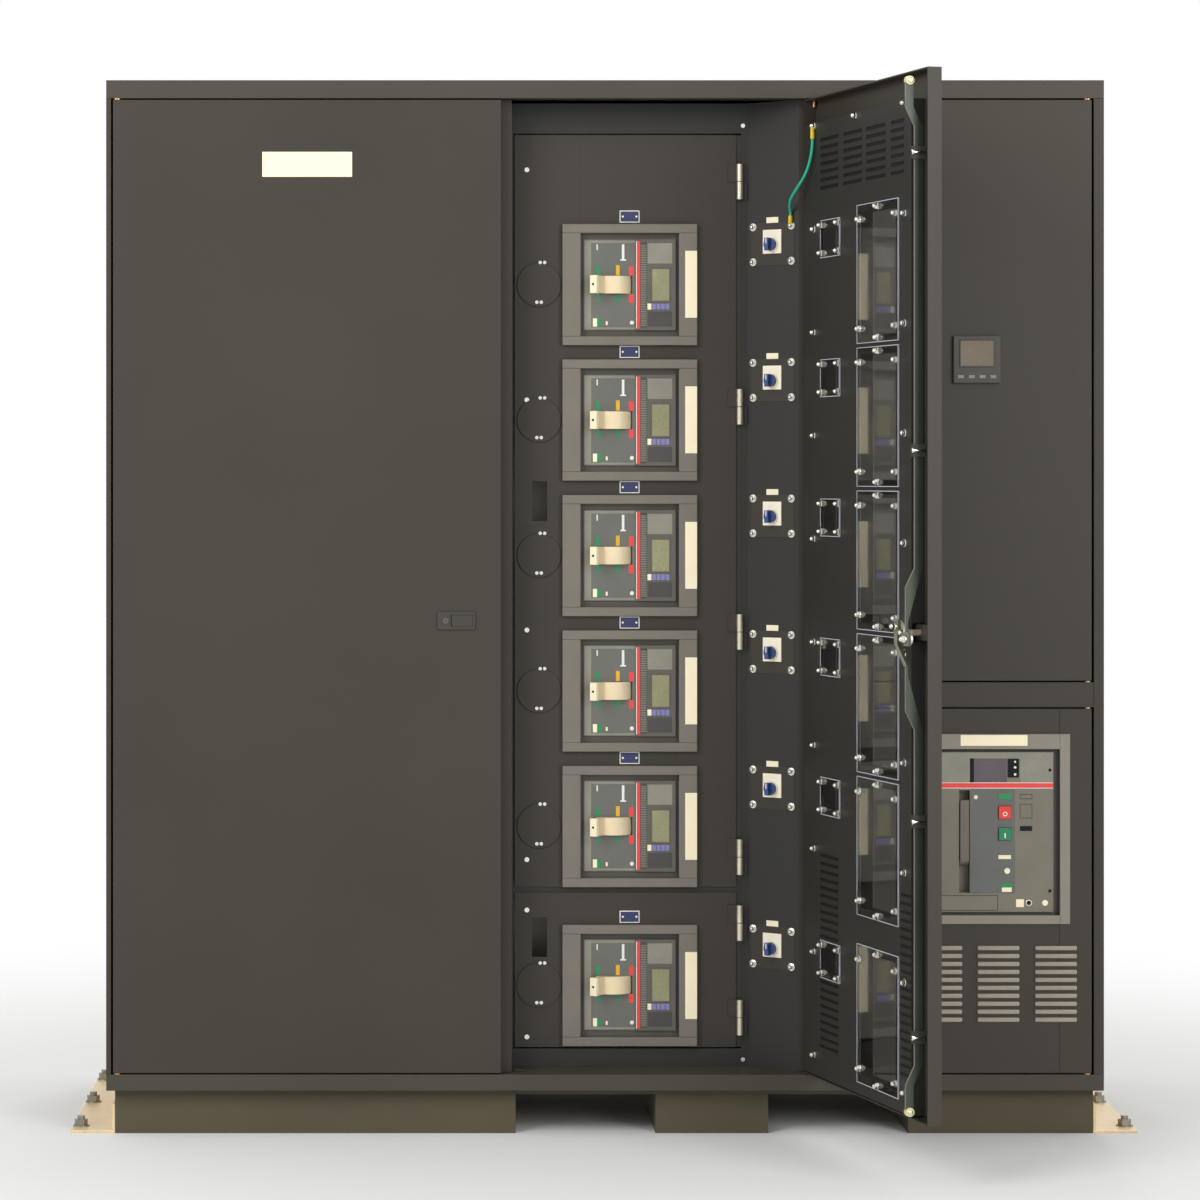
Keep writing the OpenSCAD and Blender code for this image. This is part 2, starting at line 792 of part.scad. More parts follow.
module deadfront_frame() {
    y1 = y_dead + sheet;
    top = upper_z + upper_h + lift_gap;
    mid_gap = (lower_z + lower_h + upper_z) / 2;
    splay_x0 = stile_x1 + seam;
    splay = [[splay_x0, y_dead], [splay_x1, splay_y1], [splay_x1, splay_y1 + 1.2 * sheet], [splay_x0, y1]];
    color(paint) {
        strip(mullion_x1 - sheet, mullion_x1, y_stop + post_d, y1, base_z, roof_z);
        strip(mullion_x1, inner_x0 - lift_gap, y_dead, y1, base_z, roof_z);
        strip(inner_x0 - lift_gap, stile_x0, y_dead, y1, top, roof_z);
        strip(inner_x0 - lift_gap, stile_x0, y_dead, y1, base_z, lower_z - lift_gap);
        strip(mullion_x1, stile_x1, y1 + slide, y1 + slide + 20, mid_gap - 20, mid_gap + 20);
        strip(stile_x0, stile_x1, y_dead, y1, base_z, roof_z);
        translate([0, 0, base_z]) linear_extrude(roof_z - base_z) polygon(splay);
        frame_leaves(upper_hinges);
        frame_leaves(lower_hinges);
        bond_stud();
    }
}

// Stud and lug that take the bonding wire's lower end
module bond_stud() {
    end = wire_points[len(wire_points) - 1];
    translate([end[0], end[1], end[2] - lug_l]) cylinder(r = wire_r + 1, h = lug_l);
    off = (splay_x1 - end[0]) * sin(splay_angle) + (splay_y1 - end[1]) * cos(splay_angle);
    translate([end[0], end[1], end[2] - lug_drop]) rotate([0, 0, -splay_angle]) rotate([-90, 0, 0])
        cylinder(r = stud_r, h = off + sheet / 2);
}

module hinge_pins() {
    color([0.72, 0.47, 0.27]) {
        for (x = [left_pivot, centre_pivot, right_pivot]) {
            door_pin(x, base_z, 1);
            door_pin(x, roof_z, -1);
        }
        door_pin(right_pivot, rail_z, -1);
        door_pin(right_pivot, rail_top, 1);
        for (z = concat(upper_hinges, lower_hinges))
            translate([hinge_x, y_hinge, z - hinge_l / 2]) cylinder(r = inner_pin_r, h = hinge_l);
    }
}

// Moulded-case breakers behind the bezels
module breaker_case() {
    w = breaker_w / 2;
    h = breaker_h / 2;
    difference() {
        bar(-w, w, y_case, y_pan, -h, h);
        translate([toggle_x - breaker_x, y_toggle, -toggle_h / 2 - slide])
            cylinder(r = drum_r + slide, h = toggle_h + 2 * slide);
        bar(toggle_x - breaker_x - drum_r - slide, toggle_x - breaker_x + drum_r + slide,
            y_case - far, y_toggle, -toggle_h / 2 - slide, toggle_h / 2 + slide);
        translate([toggle_x - breaker_x, y_toggle, -toggle_h / 2 - trunnion_l - slide])
            cylinder(r = trunnion_r + run, h = toggle_h + 2 * trunnion_l + 2 * slide);
    }
}

module breaker_cases() {
    color([0.16, 0.16, 0.16]) for (z = breaker_zs) translate([breaker_x, 0, z]) breaker_case();
}

module breaker_faces() {
    x0 = -breaker_w / 2;
    half = sqrt(pow(drum_r, 2) - pow(drum_in - face_t, 2)) + 1;
    color(grey) for (z = breaker_zs) translate([breaker_x, 0, z]) difference() {
        bar(x0, x0 + face_w, y_face, y_case, -breaker_h / 2, breaker_h / 2);
        bar(x0 + toggle_in - half, x0 + toggle_in + half, y_face - far, y_case + far,
            -toggle_h / 2 - slide, toggle_h / 2 + slide);
    }
}

module trip_units() {
    x0 = -breaker_w / 2 + face_w;
    color([0.25, 0.25, 0.24]) for (z = breaker_zs) translate([breaker_x, 0, z])
        bar(x0, breaker_w / 2, y_face - trip_out, y_case, -breaker_h / 2, breaker_h / 2);
}

module toggle(i) {
    color([0.8, 0.77, 0.67]) translate([toggle_x, y_toggle, breaker_zs[i]]) rotate([0, 0, -toggle_lean]) {
        translate([0, 0, -toggle_h / 2]) difference() {
            cylinder(r = drum_r, h = toggle_h);
            rotate([0, 0, toggle_lean])
                bar(-drum_r - far, drum_r + far, drum_back, drum_r + far, -far, toggle_h + far);
        }
        bar(-arm_t / 2, arm_t / 2, -arm_r, -drum_r + 4, -toggle_h / 2, toggle_h / 2);
        translate([0, 0, -toggle_h / 2 - trunnion_l]) cylinder(r = trunnion_r, h = toggle_h + 2 * trunnion_l);
    }
}

// Rotary selectors on the splayed strip
module selector_plates() {
    color([0.93, 0.93, 0.9]) for (z = breaker_zs) on_splay(z + selector_up) {
        translate([-legend_w / 2, legend_up - legend_h / 2, 0]) cube([legend_w, legend_h, legend_t]);
        translate([0, 0, legend_t]) cylinder(r = collar_r, h = collar_t);
        translate([0, 0, legend_t]) cylinder(r = spindle_r, h = collar_t + knob_h);
    }
}

module selector_knob(i) {
    color([0.1, 0.2, 0.5]) on_splay(breaker_zs[i] + selector_up) translate([0, 0, knob_z]) difference() {
        union() {
            cylinder(r = knob_r, h = knob_h);
            translate([-knob_r / 3, -knob_r, knob_h]) cube([2 * knob_r / 3, 2 * knob_r, grip_h]);
        }
        translate([0, 0, -far]) cylinder(r = spindle_r + run, h = knob_h + far);
    }
}

// Equipment behind the doors
module busbars() {
    x0 = (partition_x1 + partition_x2) / 2;
    y0 = y_pan + sheet + bus_gap;
    bus_end = 30;
    insulator_end = 80;
    zs = [base_z + insulator_end, (base_z + roof_z) / 2, roof_z - insulator_end];
    for (i = [-1:1]) {
        color([0.72, 0.42, 0.24])
            bar(x0 + i * bus_step - bus_w / 2, x0 + i * bus_step + bus_w / 2, y0, y0 + bus_t,
                base_z + bus_end, roof_z - bus_end);
        color([0.5, 0.15, 0.12]) for (z = zs)
            translate([x0 + i * bus_step, y0 - bus_gap, z]) rotate([-90, 0, 0])
                cylinder(r = insulator_r, h = bus_gap);
    }
}

module heat_sink_stacks() {
    fin_t = 5;
    base_t = 40;
    pitch = (stack_w - fin_t) / (fin_n - 1);
    color([0.6, 0.6, 0.62]) for (k = [0:2]) translate([left_mid - stack_w / 2, 0, stack_z0 + k * stack_step]) {
        bar(0, stack_w, y_left_pan - base_t, y_left_pan, 0, stack_h);
        for (i = [0:fin_n - 1])
            bar(i * pitch, i * pitch + fin_t, y_left_pan - base_t - fin_d, y_left_pan - base_t, 0, stack_h);
    }
}

module control_unit() {
    x0 = left_mid - control_w / 2;
    x1 = left_mid + control_w / 2;
    y0 = y_left_pan - control_d;
    z0 = stack_z0 + 3 * stack_step;
    z1 = z0 + control_h;
    color([0.75, 0.74, 0.7]) difference() {
        bar(x0, x1, y0, y_left_pan, z0, z1);
        bar(x0 + sheet, x1 - sheet, y0 + sheet, y_left_pan + far, z0 + sheet, z1 - sheet);
    }
}

// Air breaker behind the lower right door
module air_breaker_case() {
    color([0.2, 0.2, 0.2]) bar(acb_x0, acb_x1, y_acb_case, y_right_pan, acb_z0, acb_z1);
}

module button_hole(z) {
    w = button_w / 2 + slide;
    bar(button_x - w, button_x + w, y_acb - far, y_acb + 16 + press, z - w, z + w);
}

module air_breaker_face() {
    color([0.3, 0.3, 0.3]) difference() {
        bar(acb_x0, acb_x1, y_acb, y_acb_case, acb_z0, acb_z1);
        bar(lever_x - lever_slot_w / 2, lever_x + lever_slot_w / 2, y_acb - far, y_acb + lever_slot_d,
            lever_z - slot_below, lever_z + lever_l + slot_above);
        translate([lever_x - lever_slot_w / 2 - 6, y_acb + lever_pivot_in, lever_z])
            rotate([0, 90, 0]) cylinder(r = trunnion_r + run, h = lever_slot_w + 12);
        button_hole(off_z);
        button_hole(on_z);
    }
}

module charging_lever() {
    w = lever_w / 2;
    color([0.15, 0.15, 0.15]) translate([lever_x, y_acb + lever_pivot_in, lever_z]) {
        bar(-w, w, -lever_pivot_in - 3, -6, 0, lever_l);
        translate([-w, 0, 0]) rotate([0, 90, 0]) cylinder(r = 8, h = lever_w);
        translate([-lever_slot_w / 2 - 5, 0, 0]) rotate([0, 90, 0])
            cylinder(r = trunnion_r, h = lever_slot_w + 10);
    }
}

module push_button(z) {
    w = button_w / 2;
    bar(button_x - w, button_x + w, y_acb - press - 1, y_acb + 14, z - w, z + w);
}

module on_button() {
    color([0.1, 0.5, 0.3]) push_button(on_z);
}

module off_button() {
    color([0.85, 0.2, 0.2]) push_button(off_z);
}

// Left door
module left_door() {
    color(paint) difference() {
        pan(left_x0, left_x1, door_z0, door_z1);
        pivot_bores(left_pivot, door_z0, door_z1);
        latch_at(left_x1 - left_latch_in, latch_z, 1) latch_cutout();
    }
}

module left_latch_case() {
    color([0.1, 0.1, 0.1]) latch_at(left_x1 - left_latch_in, latch_z, 1) latch_case();
}

module left_paddle() {
    color([0.12, 0.12, 0.12]) latch_at(left_x1 - left_latch_in, latch_z, 1) latch_paddle(0);
}

// Centre door, drawn closed and turned open
module window_places(w_large, h_large, w_small, h_small, depth) {
    for (z = breaker_zs) {
        x = centre_pivot - large_out;
        translate([x - w_large / 2, 0, z - h_large / 2]) cube([w_large, depth, h_large]);
        xs = centre_pivot - small_out;
        translate([xs - w_small / 2, 0, z + selector_up - h_small / 2]) cube([w_small, depth, h_small]);
    }
}

module window_cutouts(depth) {
    cut = 2 * pane_lap;
    translate([0, -far, 0])
        window_places(large_w - cut, large_h - cut, small_w - cut, small_h - cut, depth + 2 * far);
}

module centre_door() {
    color(paint) on_centre_door() difference() {
        pan(centre_x0, centre_x1, door_z0, door_z1);
        pivot_bores(centre_pivot, door_z0, door_z1);
        latch_at(cam_x, latch_z, -1) latch_cutout();
        translate([0, y_front, 0]) window_cutouts(skin);
    }
}

// A tray with its top and free edges folded back to the door's skin, and a notch for the latch case
module door_liner() {
    x0 = centre_pivot - liner_out;
    x1 = centre_x1 - liner_in;
    z0 = door_z0 + liner_in;
    z1 = door_z1 - liner_top;
    color(paint) on_centre_door() difference() {
        union() {
            bar(x0, x1, y_door, y_liner, z0, z1);
            bar(x0, x1, y_skin, y_liner, z1 - liner_t, z1);
            bar(x0, x0 + liner_t, y_skin, y_liner, z0, z1);
        }
        translate([0, y_door, 0]) window_cutouts(liner_t);
        bar(x0 - far, x0 + liner_t + far, y_skin - far, y_door,
            latch_z - latch_h / 2, latch_z + latch_h / 2);
    }
}

module window_panes() {
    color([0.8, 0.85, 0.9, 0.4]) on_centre_door() translate([0, y_liner, 0])
        window_places(large_w, large_h, small_w, small_h, pane_t);
}

// A block on the door's skin that a rod slides through
module rod_guide(z) {
    w = rod_t / 2 + slide;
    difference() {
        bar(rod_x - w - guide_wall, rod_x + w + guide_wall, y_skin, y_run + slide + guide_wall,
            z - guide_l / 2, z + guide_l / 2);
        bar(rod_x - w, rod_x + w, y_rod - slide, y_run + slide, z - guide_l, z + guide_l);
    }
}

// Rod guides, and the stud and lug that take the bonding wire's upper end
module door_fittings() {
    start = wire_points[0];
    away = (centre_pivot - start[0]) * sin(centre_open) + (start[1] - y_pivot) * cos(centre_open);
    off = away - y_liner + y_pivot;
    color(zinc) {
        on_centre_door() for (z = guide_zs) rod_guide(z);
        translate(start) cylinder(r = wire_r + 1, h = lug_l);
        translate([start[0], start[1], start[2] + lug_drop]) rotate([0, 0, centre_open]) rotate([90, 0, 0])
            cylinder(r = stud_r, h = off - seam);
    }
}

module centre_latch_case() {
    color([0.1, 0.1, 0.1]) on_centre_door() latch_at(cam_x, latch_z, -1) latch_case();
}

module centre_paddle() {
    color([0.12, 0.12, 0.12]) on_centre_door() latch_at(cam_x, latch_z, -1) latch_paddle(paddle_lift);
}

// Turned half its travel to the free side of level; the pins drive the slotted rod ends
module latch_cam() {
    y_shaft = y_front + latch_d + fit;
    color(zinc) on_centre_door() translate([cam_x, 0, latch_z])
        rotate([0, -cam_turn / 2, 0]) rotate([-90, 0, 0]) {
        translate([0, 0, y_shaft]) cylinder(r = shaft_r, h = y_cam - y_shaft);
        translate([0, 0, y_cam]) {
            translate([-cam_r, -cam_w / 2, 0]) cube([2 * cam_r, cam_w, cam_t]);
            for (x = [-cam_r, cam_r]) translate([x, 0, 0]) {
                cylinder(d = cam_w, h = cam_t);
                cylinder(r = cam_pin_r, h = cam_t + rod_t + 3);
            }
        }
    }
}

// A flat bar on edge from z0, beside a slotted end, to a roller at z1: it widens from a neck, steps
// back to run beside the liner and steps out again before the roller
module rod_run(z0, z1) {
    way = sign(z1 - z0);
    z_blade = z0 + way * blade_l;
    z_low = z_blade + way * step_l;
    z_tip = z1 - way * tip_l;
    z_step = z_tip - way * step_l;
    translate([rod_x - rod_t / 2, 0, 0]) rotate([90, 0, 90]) linear_extrude(rod_t) polygon([
        [y_tip, z0], [y_nose, z0], [y_nose, z_blade], [y_run, z_low], [y_run, z_step], [y_nose, z_tip],
        [y_nose, z1], [y_nose - rod_w, z1], [y_nose - rod_w, z_tip], [y_rod, z_step], [y_rod, z_low],
        [y_tip, z0 + way * rod_neck]
    ]);
    translate([rod_x - glide_w / 2, y_glide, z1]) rotate([0, 90, 0]) cylinder(r = glide_r, h = glide_w);
}

module rod_lug(x, z) {
    difference() {
        bar(x - lug_w / 2, x + lug_w / 2, y_tip, y_nose, z - lug_h / 2, z + lug_h / 2);
        bar(x - slot_w / 2, x + slot_w / 2, y_tip - far, y_nose + far, z - slot_h / 2, z + slot_h / 2);
    }
}

module upper_rod() {
    z0 = latch_z - rod_drop;
    color(zinc) on_centre_door() {
        rod_lug(cam_x - slot_mid, z0);
        rod_run(z0 + lug_h / 2, glide_z1);
    }
}

module lower_rod() {
    z0 = latch_z + rod_drop;
    x = cam_x + slot_mid;
    bend_z = z0 - lug_h / 2 - rod_neck;
    low_z = bend_z - rod_bend;
    w = rod_w / 2;
    color(zinc) on_centre_door() {
        rod_lug(x, z0);
        translate([0, y_nose, 0]) rotate([90, 0, 0]) linear_extrude(rod_t) polygon([
            [x - w, z0 - lug_h / 2], [x + w, z0 - lug_h / 2], [x + w, bend_z],
            [rod_x + w, low_z], [rod_x - w, low_z], [x - w, bend_z]
        ]);
        rod_run(low_z, glide_z0);
    }
}

// Right doors
module upper_right_door() {
    cut = meter_body / 2 + fit;
    meter_x = right_x0 + meter_in;
    meter_z = up_door_z0 + meter_up;
    color(paint) difference() {
        pan(right_x0, right_x1, up_door_z0, door_z1);
        pivot_bores(right_pivot, up_door_z0, door_z1);
        latch_at(right_x0 + right_latch_in, up_door_z0 + latch_up, -1) latch_cutout();
        bar(meter_x - cut, meter_x + cut, y_front - far, y_front + skin + far, meter_z - cut, meter_z + cut);
    }
}

module meter() {
    w = meter_w / 2;
    b = meter_body / 2;
    color([0.15, 0.15, 0.15]) translate([right_x0 + meter_in, y_front, up_door_z0 + meter_up]) {
        bar(-w, w, -meter_t, 0, -w, w);
        bar(-b, b, 0, meter_d, -b, b);
    }
}

module upper_right_latch_case() {
    color([0.1, 0.1, 0.1]) latch_at(right_x0 + right_latch_in, up_door_z0 + latch_up, -1) latch_case();
}

module upper_right_paddle() {
    color([0.12, 0.12, 0.12]) latch_at(right_x0 + right_latch_in, up_door_z0 + latch_up, -1) latch_paddle(0);
}

lower_latch_z = low_door_z1 - latch_up;

module lower_right_door() {
    x0 = acb_x0 - acb_gap;
    x1 = acb_x1 + acb_gap;
    z0 = acb_z0 - acb_gap / 2;
    z1 = acb_z1 + acb_gap / 2;
    color(paint) difference() {
        pan(right_x0, right_x1, door_z0, low_door_z1);
        pivot_bores(right_pivot, door_z0, low_door_z1);
        latch_at(right_x0 + right_latch_in, lower_latch_z, -1) latch_cutout();
        bar(x0, x1, y_front - far, y_front + skin + far, z0, z1);
        for (x = [x0, x1 - seam])
            bar(x, x + seam, y_front - far, y_door + far, door_z0 - far, low_door_z1 + far);
    }
}

module air_breaker_flange() {
    x0 = acb_x0 - acb_gap;
    x1 = acb_x1 + acb_gap;
    z0 = acb_z0 - acb_gap / 2;
    z1 = acb_z1 + acb_gap / 2;
    y0 = y_front - flange_t;
    color(grey) {
        bar(x0 - flange_w, x0, y0, y_front, z0 - flange_low, z1 + flange_top);
        bar(x1, x1 + flange_w, y0, y_front, z0 - flange_low, z1 + flange_top);
        strip(x0, x1, y0, y_front, z1, z1 + flange_top);
        strip(x0, x1, y0, y_front, z0 - flange_low, z0);
    }
}

module lower_right_latch_case() {
    color([0.1, 0.1, 0.1]) latch_at(right_x0 + right_latch_in, lower_latch_z, -1) latch_case();
}

module lower_right_paddle() {
    color([0.12, 0.12, 0.12]) latch_at(right_x0 + right_latch_in, lower_latch_z, -1) latch_paddle(0);
}

// Inner doors: stiles and rails around the breaker openings and the pull slot
module inner_door(z0, h, zs, pull_z) {
    y1 = y_dead + sheet;
    x0 = breaker_x - open_w / 2;
    x1 = breaker_x + open_w / 2;
    p0 = inner_x0 + pull_in - pull_w / 2;
    p1 = p0 + pull_w;
    edges = concat([z0], [for (z = zs, s = [-1, 1]) z + s * open_h / 2], [z0 + h]);
    strip(inner_x0, x0, y_dead, y1, z0, pull_z - pull_h / 2);
    strip(inner_x0, x0, y_dead, y1, pull_z + pull_h / 2, z0 + h);
    strip(inner_x0, p0, y_dead, y1, pull_z - pull_h / 2, pull_z + pull_h / 2);
    strip(p1, x0, y_dead, y1, pull_z - pull_h / 2, pull_z + pull_h / 2);
    strip(x1, inner_x1, y_dead, y1, z0, z0 + h);
    for (i = [0:2:len(edges) - 2]) strip(x0, x1, y_dead, y1, edges[i], edges[i + 1]);
}

module inner_door_upper() {
    color(paint) {
        inner_door(upper_z, upper_h, [for (i = [1:5]) breaker_zs[i]], pull_z1);
        door_leaves(upper_hinges);
    }
}

module inner_door_lower() {
    color(paint) {
        inner_door(lower_z, lower_h, [breaker_zs[0]], pull_z2);
        door_leaves(lower_hinges);
    }
}

module bezel(z) {
    x0 = breaker_x - bezel_w / 2;
    x1 = breaker_x + bezel_w / 2;
    o0 = breaker_x - open_w / 2;
    o1 = breaker_x + open_w / 2;
    y0 = y_dead - bezel_t;
    bar(x0, x1, y0, y_dead, z + open_h / 2, z + bezel_h / 2);
    bar(x0, x1, y0, y_dead, z - bezel_h / 2, z - open_h / 2);
    strip(x0, o0, y0, y_dead, z - open_h / 2, z + open_h / 2);
    strip(o1, x1, y0, y_dead, z - open_h / 2, z + open_h / 2);
}

module port_cover(z) {
    translate([inner_x0 + port_in, y_dead, z]) rotate([90, 0, 0]) cylinder(r = port_r, h = port_t);
}

module upper_covers() {
    color(grey) for (i = [1:5]) {
        bezel(breaker_zs[i]);
        port_cover(breaker_zs[i]);
    }
}

module lower_covers() {
    color(grey) {
        bezel(breaker_zs[0]);
        port_cover(breaker_zs[0]);
    }
}

// A tube of flat-sided rings along the points, closed at both ends
function unit(v) = v / norm(v);
function heading(p, i) = unit(p[min(i + 1, len(p) - 1)] - p[max(i - 1, 0)]);
function ring(p, i, r, n) =
    let (d = i == 0 || i == len(p) - 1 ? [0, 0, -1] : heading(p, i))
    let (u = unit(cross(d, [0, 1, 0])), v = cross(d, u))
    [for (k = [0:n - 1]) p[i] + r * (cos(360 * k / n) * u + sin(360 * k / n) * v)];

module swept_tube(p, r, n) {
    m = len(p);
    rings = [for (i = [0:m - 1]) each ring(p, i, r, n)];
    sides = [for (i = [0:m - 2], k = [0:n - 1])
        let (a = i * n + k, b = i * n + (k + 1) % n)
        each [[a, b, b + n], [a, b + n, a + n]]];
    first = [for (k = [1:n - 2]) [0, k + 1, k]];
    last = [for (k = [1:n - 2]) let (o = (m - 1) * n) [o, o + k, o + k + 1]];
    polyhedron(rings, concat(sides, first, last));
}

module bond_wire() {
    color([0.1, 0.55, 0.45]) swept_tube(wire_points, wire_r, wire_sides);
}

plinth();
floor_plates();
base_frame();
roof_cap();
side_panels();
rear_covers();
front_frame();
bay_partitions();
mounting_pans();
deadfront_frame();
hinge_pins();
breaker_cases();
breaker_faces();
trip_units();
selector_plates();
busbars();
heat_sink_stacks();
control_unit();
air_breaker_case();
air_breaker_face();
bond_wire();
left_door();
left_latch_case();
left_paddle();
centre_door();
door_liner();
window_panes();
door_fittings();
centre_latch_case();
centre_paddle();
latch_cam();
upper_rod();
lower_rod();
upper_right_door();
meter();
upper_right_latch_case();
upper_right_paddle();
lower_right_door();
air_breaker_flange();
lower_right_latch_case();
lower_right_paddle();
inner_door_upper();
upper_covers();
inner_door_lower();
lower_covers();
toggle(5);  // toggle_1
toggle(4);  // toggle_2
toggle(3);  // toggle_3
toggle(2);  // toggle_4
toggle(1);  // toggle_5
toggle(0);  // toggle_6
selector_knob(5);  // selector_knob_1
selector_knob(4);  // selector_knob_2
selector_knob(3);  // selector_knob_3
selector_knob(2);  // selector_knob_4
selector_knob(1);  // selector_knob_5
selector_knob(0);  // selector_knob_6
charging_lever();
on_button();
off_button();
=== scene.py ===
# %% [markdown]
# # Dressing a transfer switch cabinet
# The cabinet comes in as a frame of exact solids: panels, doors, breakers, latches, pins. A solid could
# be painted and left as it is, but real sheet steel has rounded folds, and a real breaker has keys,
# stripes and a screen. So each step below either gives a solid its finish, rounds its edges in a copy
# that stands for it, or adds the small pieces that make the object what it is. All places are in
# millimetres until a mesh is finished, and are taken from the solids where they can be.

# %% Load the frame
import json
import math

import bmesh
import bpy
from mathutils import Matrix, Vector
from mathutils.bvhtree import BVHTree


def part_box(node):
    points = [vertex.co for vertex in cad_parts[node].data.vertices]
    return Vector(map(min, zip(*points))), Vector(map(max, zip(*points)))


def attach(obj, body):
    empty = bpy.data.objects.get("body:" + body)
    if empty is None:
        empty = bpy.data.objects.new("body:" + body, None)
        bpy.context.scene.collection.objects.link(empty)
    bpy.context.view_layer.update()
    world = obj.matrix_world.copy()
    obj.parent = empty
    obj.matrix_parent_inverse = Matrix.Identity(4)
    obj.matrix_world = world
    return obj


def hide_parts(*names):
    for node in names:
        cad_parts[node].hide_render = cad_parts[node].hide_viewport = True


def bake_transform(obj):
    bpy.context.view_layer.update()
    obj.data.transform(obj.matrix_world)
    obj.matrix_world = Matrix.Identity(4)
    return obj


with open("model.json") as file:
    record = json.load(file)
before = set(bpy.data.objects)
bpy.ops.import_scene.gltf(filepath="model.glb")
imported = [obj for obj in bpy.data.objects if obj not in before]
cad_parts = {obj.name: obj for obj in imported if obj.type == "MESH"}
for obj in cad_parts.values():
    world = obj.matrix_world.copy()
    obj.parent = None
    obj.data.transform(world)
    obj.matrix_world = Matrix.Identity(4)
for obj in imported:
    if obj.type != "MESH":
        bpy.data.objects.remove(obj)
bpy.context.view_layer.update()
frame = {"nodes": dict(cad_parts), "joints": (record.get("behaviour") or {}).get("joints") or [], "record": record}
scene = bpy.context.scene
MM = 0.001

# %% [markdown]
# ## The camera
# The photograph is taken from in front of the cabinet's left part, with verticals that stay upright. That
# is a level camera whose film is shifted sideways and down, and not a tilted one. The lens and the place
# were fitted to the cabinet's outline and to how much the open door grows towards the viewer. Pixels are
# those of the photograph's frame.

# %% Camera
CAMERA_AT = Vector((-387, -7831, 1347)) * MM
FILM = 36.0
FOCAL_PIXELS = 3659
PHOTO_PIXELS = 1200
AXIS_PIXEL = (415, 475)

camera = bpy.data.cameras.new("camera")
camera.sensor_width = FILM
camera.lens = FOCAL_PIXELS * FILM / PHOTO_PIXELS
camera.shift_x = 0.5 - AXIS_PIXEL[0] / PHOTO_PIXELS
camera.shift_y = AXIS_PIXEL[1] / PHOTO_PIXELS - 0.5
camera_object = bpy.data.objects.new("camera", camera)
camera_object.location = CAMERA_AT
camera_object.rotation_euler = (math.radians(90), 0, 0)
scene.collection.objects.link(camera_object)
scene.camera = camera_object
print("lens", round(camera.lens, 1), "mm, shift", round(camera.shift_x, 3), round(camera.shift_y, 3))

# %% [markdown]
# ## Places taken from the frame
# The six breakers are found by their toggles, and the centre door's hinge by its joint. These places
# could be typed in again, but copied numbers go stale when a solid moves. What is drawn on the closed
# centre door is turned with the same hinge to where the open door is.

# %% Places
def corners(node):
    """Lowest and highest corner of a solid, in millimetres."""
    lo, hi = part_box(node)
    return lo / MM, hi / MM


def middle(node):
    """The middle of a solid's box, in millimetres."""
    lo, hi = corners(node)
    return (lo + hi) / 2


joints = {j["name"]: j for j in frame["joints"]}
BREAKERS = range(1, 7)
breaker_z = {i: middle(f"toggle_{i}").z for i in BREAKERS}
breaker_x = (corners("breaker_faces")[0].x + corners("trip_units")[1].x) / 2
INNER_DOORS = {"inner_upper": (1, 2, 3, 4, 5), "inner_lower": (6,)}
LATCH_NAMES = ("left", "centre", "upper_right", "lower_right")

swing = joints["centre_door_swing"]
hinge = Vector(swing["pos_m"]) / MM
open_angle = -math.radians(swing["range_deg"][0])
to_hinge = Matrix.Translation(hinge)
door_turn = to_hinge @ Matrix.Rotation(open_angle, 4, "Z") @ to_hinge.inverted()
knob_axis = Vector(joints["selector_1_turn"]["axis"])
print("breakers at", [round(z) for z in breaker_z.values()], "door open", round(math.degrees(open_angle)))

# %% [markdown]
# ## The bonding wire
# A short green wire ties the open door to the frame, and it is the only free cord on the object. It is a
# limp tube that hangs between two lugs. The route is the one that the solids were built with, smoothed by
# a curve through its points.

# %% Bonding wire route
WIRE_RADIUS = 3
WIRE_SIDES = 12
WIRE_STEPS = 4
WIRE_POINTS = [
    (416, -438, 2032), (416, -438, 2018), (415, -437, 2004), (413, -434, 1990),
    (410, -430, 1976), (406, -424, 1963), (401, -417, 1951), (395, -409, 1940),
    (389, -400, 1930), (384, -391, 1921), (380, -381, 1913), (378, -371, 1906),
    (378, -362, 1899), (379, -353, 1892), (381, -346, 1883), (381, -344, 1872),
]


def smooth_route(points, steps):
    """A curve through the points, with some steps between each pair."""
    points = [Vector(p) for p in points]
    ends = [2 * points[0] - points[1], *points, 2 * points[-1] - points[-2]]
    route = []
    for a, b, c, d in zip(ends, ends[1:], ends[2:], ends[3:]):
        for k in range(steps):
            t = k / steps
            route.append(0.5 * (2 * b + (c - a) * t + (2 * a - 5 * b + 4 * c - d) * t ** 2
                                + (3 * b - a - 3 * c + d) * t ** 3))
    return [*route, points[-1]]


def circle(sides):
    """The cosine and sine of each corner of a round with so many sides."""
    turns = [2 * math.pi * k / sides for k in range(sides)]
    return [(math.cos(a), math.sin(a)) for a in turns]


def skin(bm, rings):
    """Joins rings of points one after the other and closes both ends."""
    for low, high in zip(rings, rings[1:]):
        for k in range(len(low)):
            after = (k + 1) % len(low)
            bm.faces.new((low[k], low[after], high[after], high[k]))
    bm.faces.new(rings[0][::-1])
    bm.faces.new(rings[-1])


def sweep(bm, route, radius, sides):
    """A closed round tube along a route."""
    rings = []
    side = Vector((1, 0, 0))
    for i, point in enumerate(route):
        along = (route[min(i + 1, len(route) - 1)] - route[max(i - 1, 0)]).normalized()
        side = (side - along * side.dot(along)).normalized()
        up = along.cross(side)
        rings.append([bm.verts.new(point + radius * (c * side + s * up)) for c, s in circle(sides)])
    skin(bm, rings)


wire_route = smooth_route(WIRE_POINTS, WIRE_STEPS)

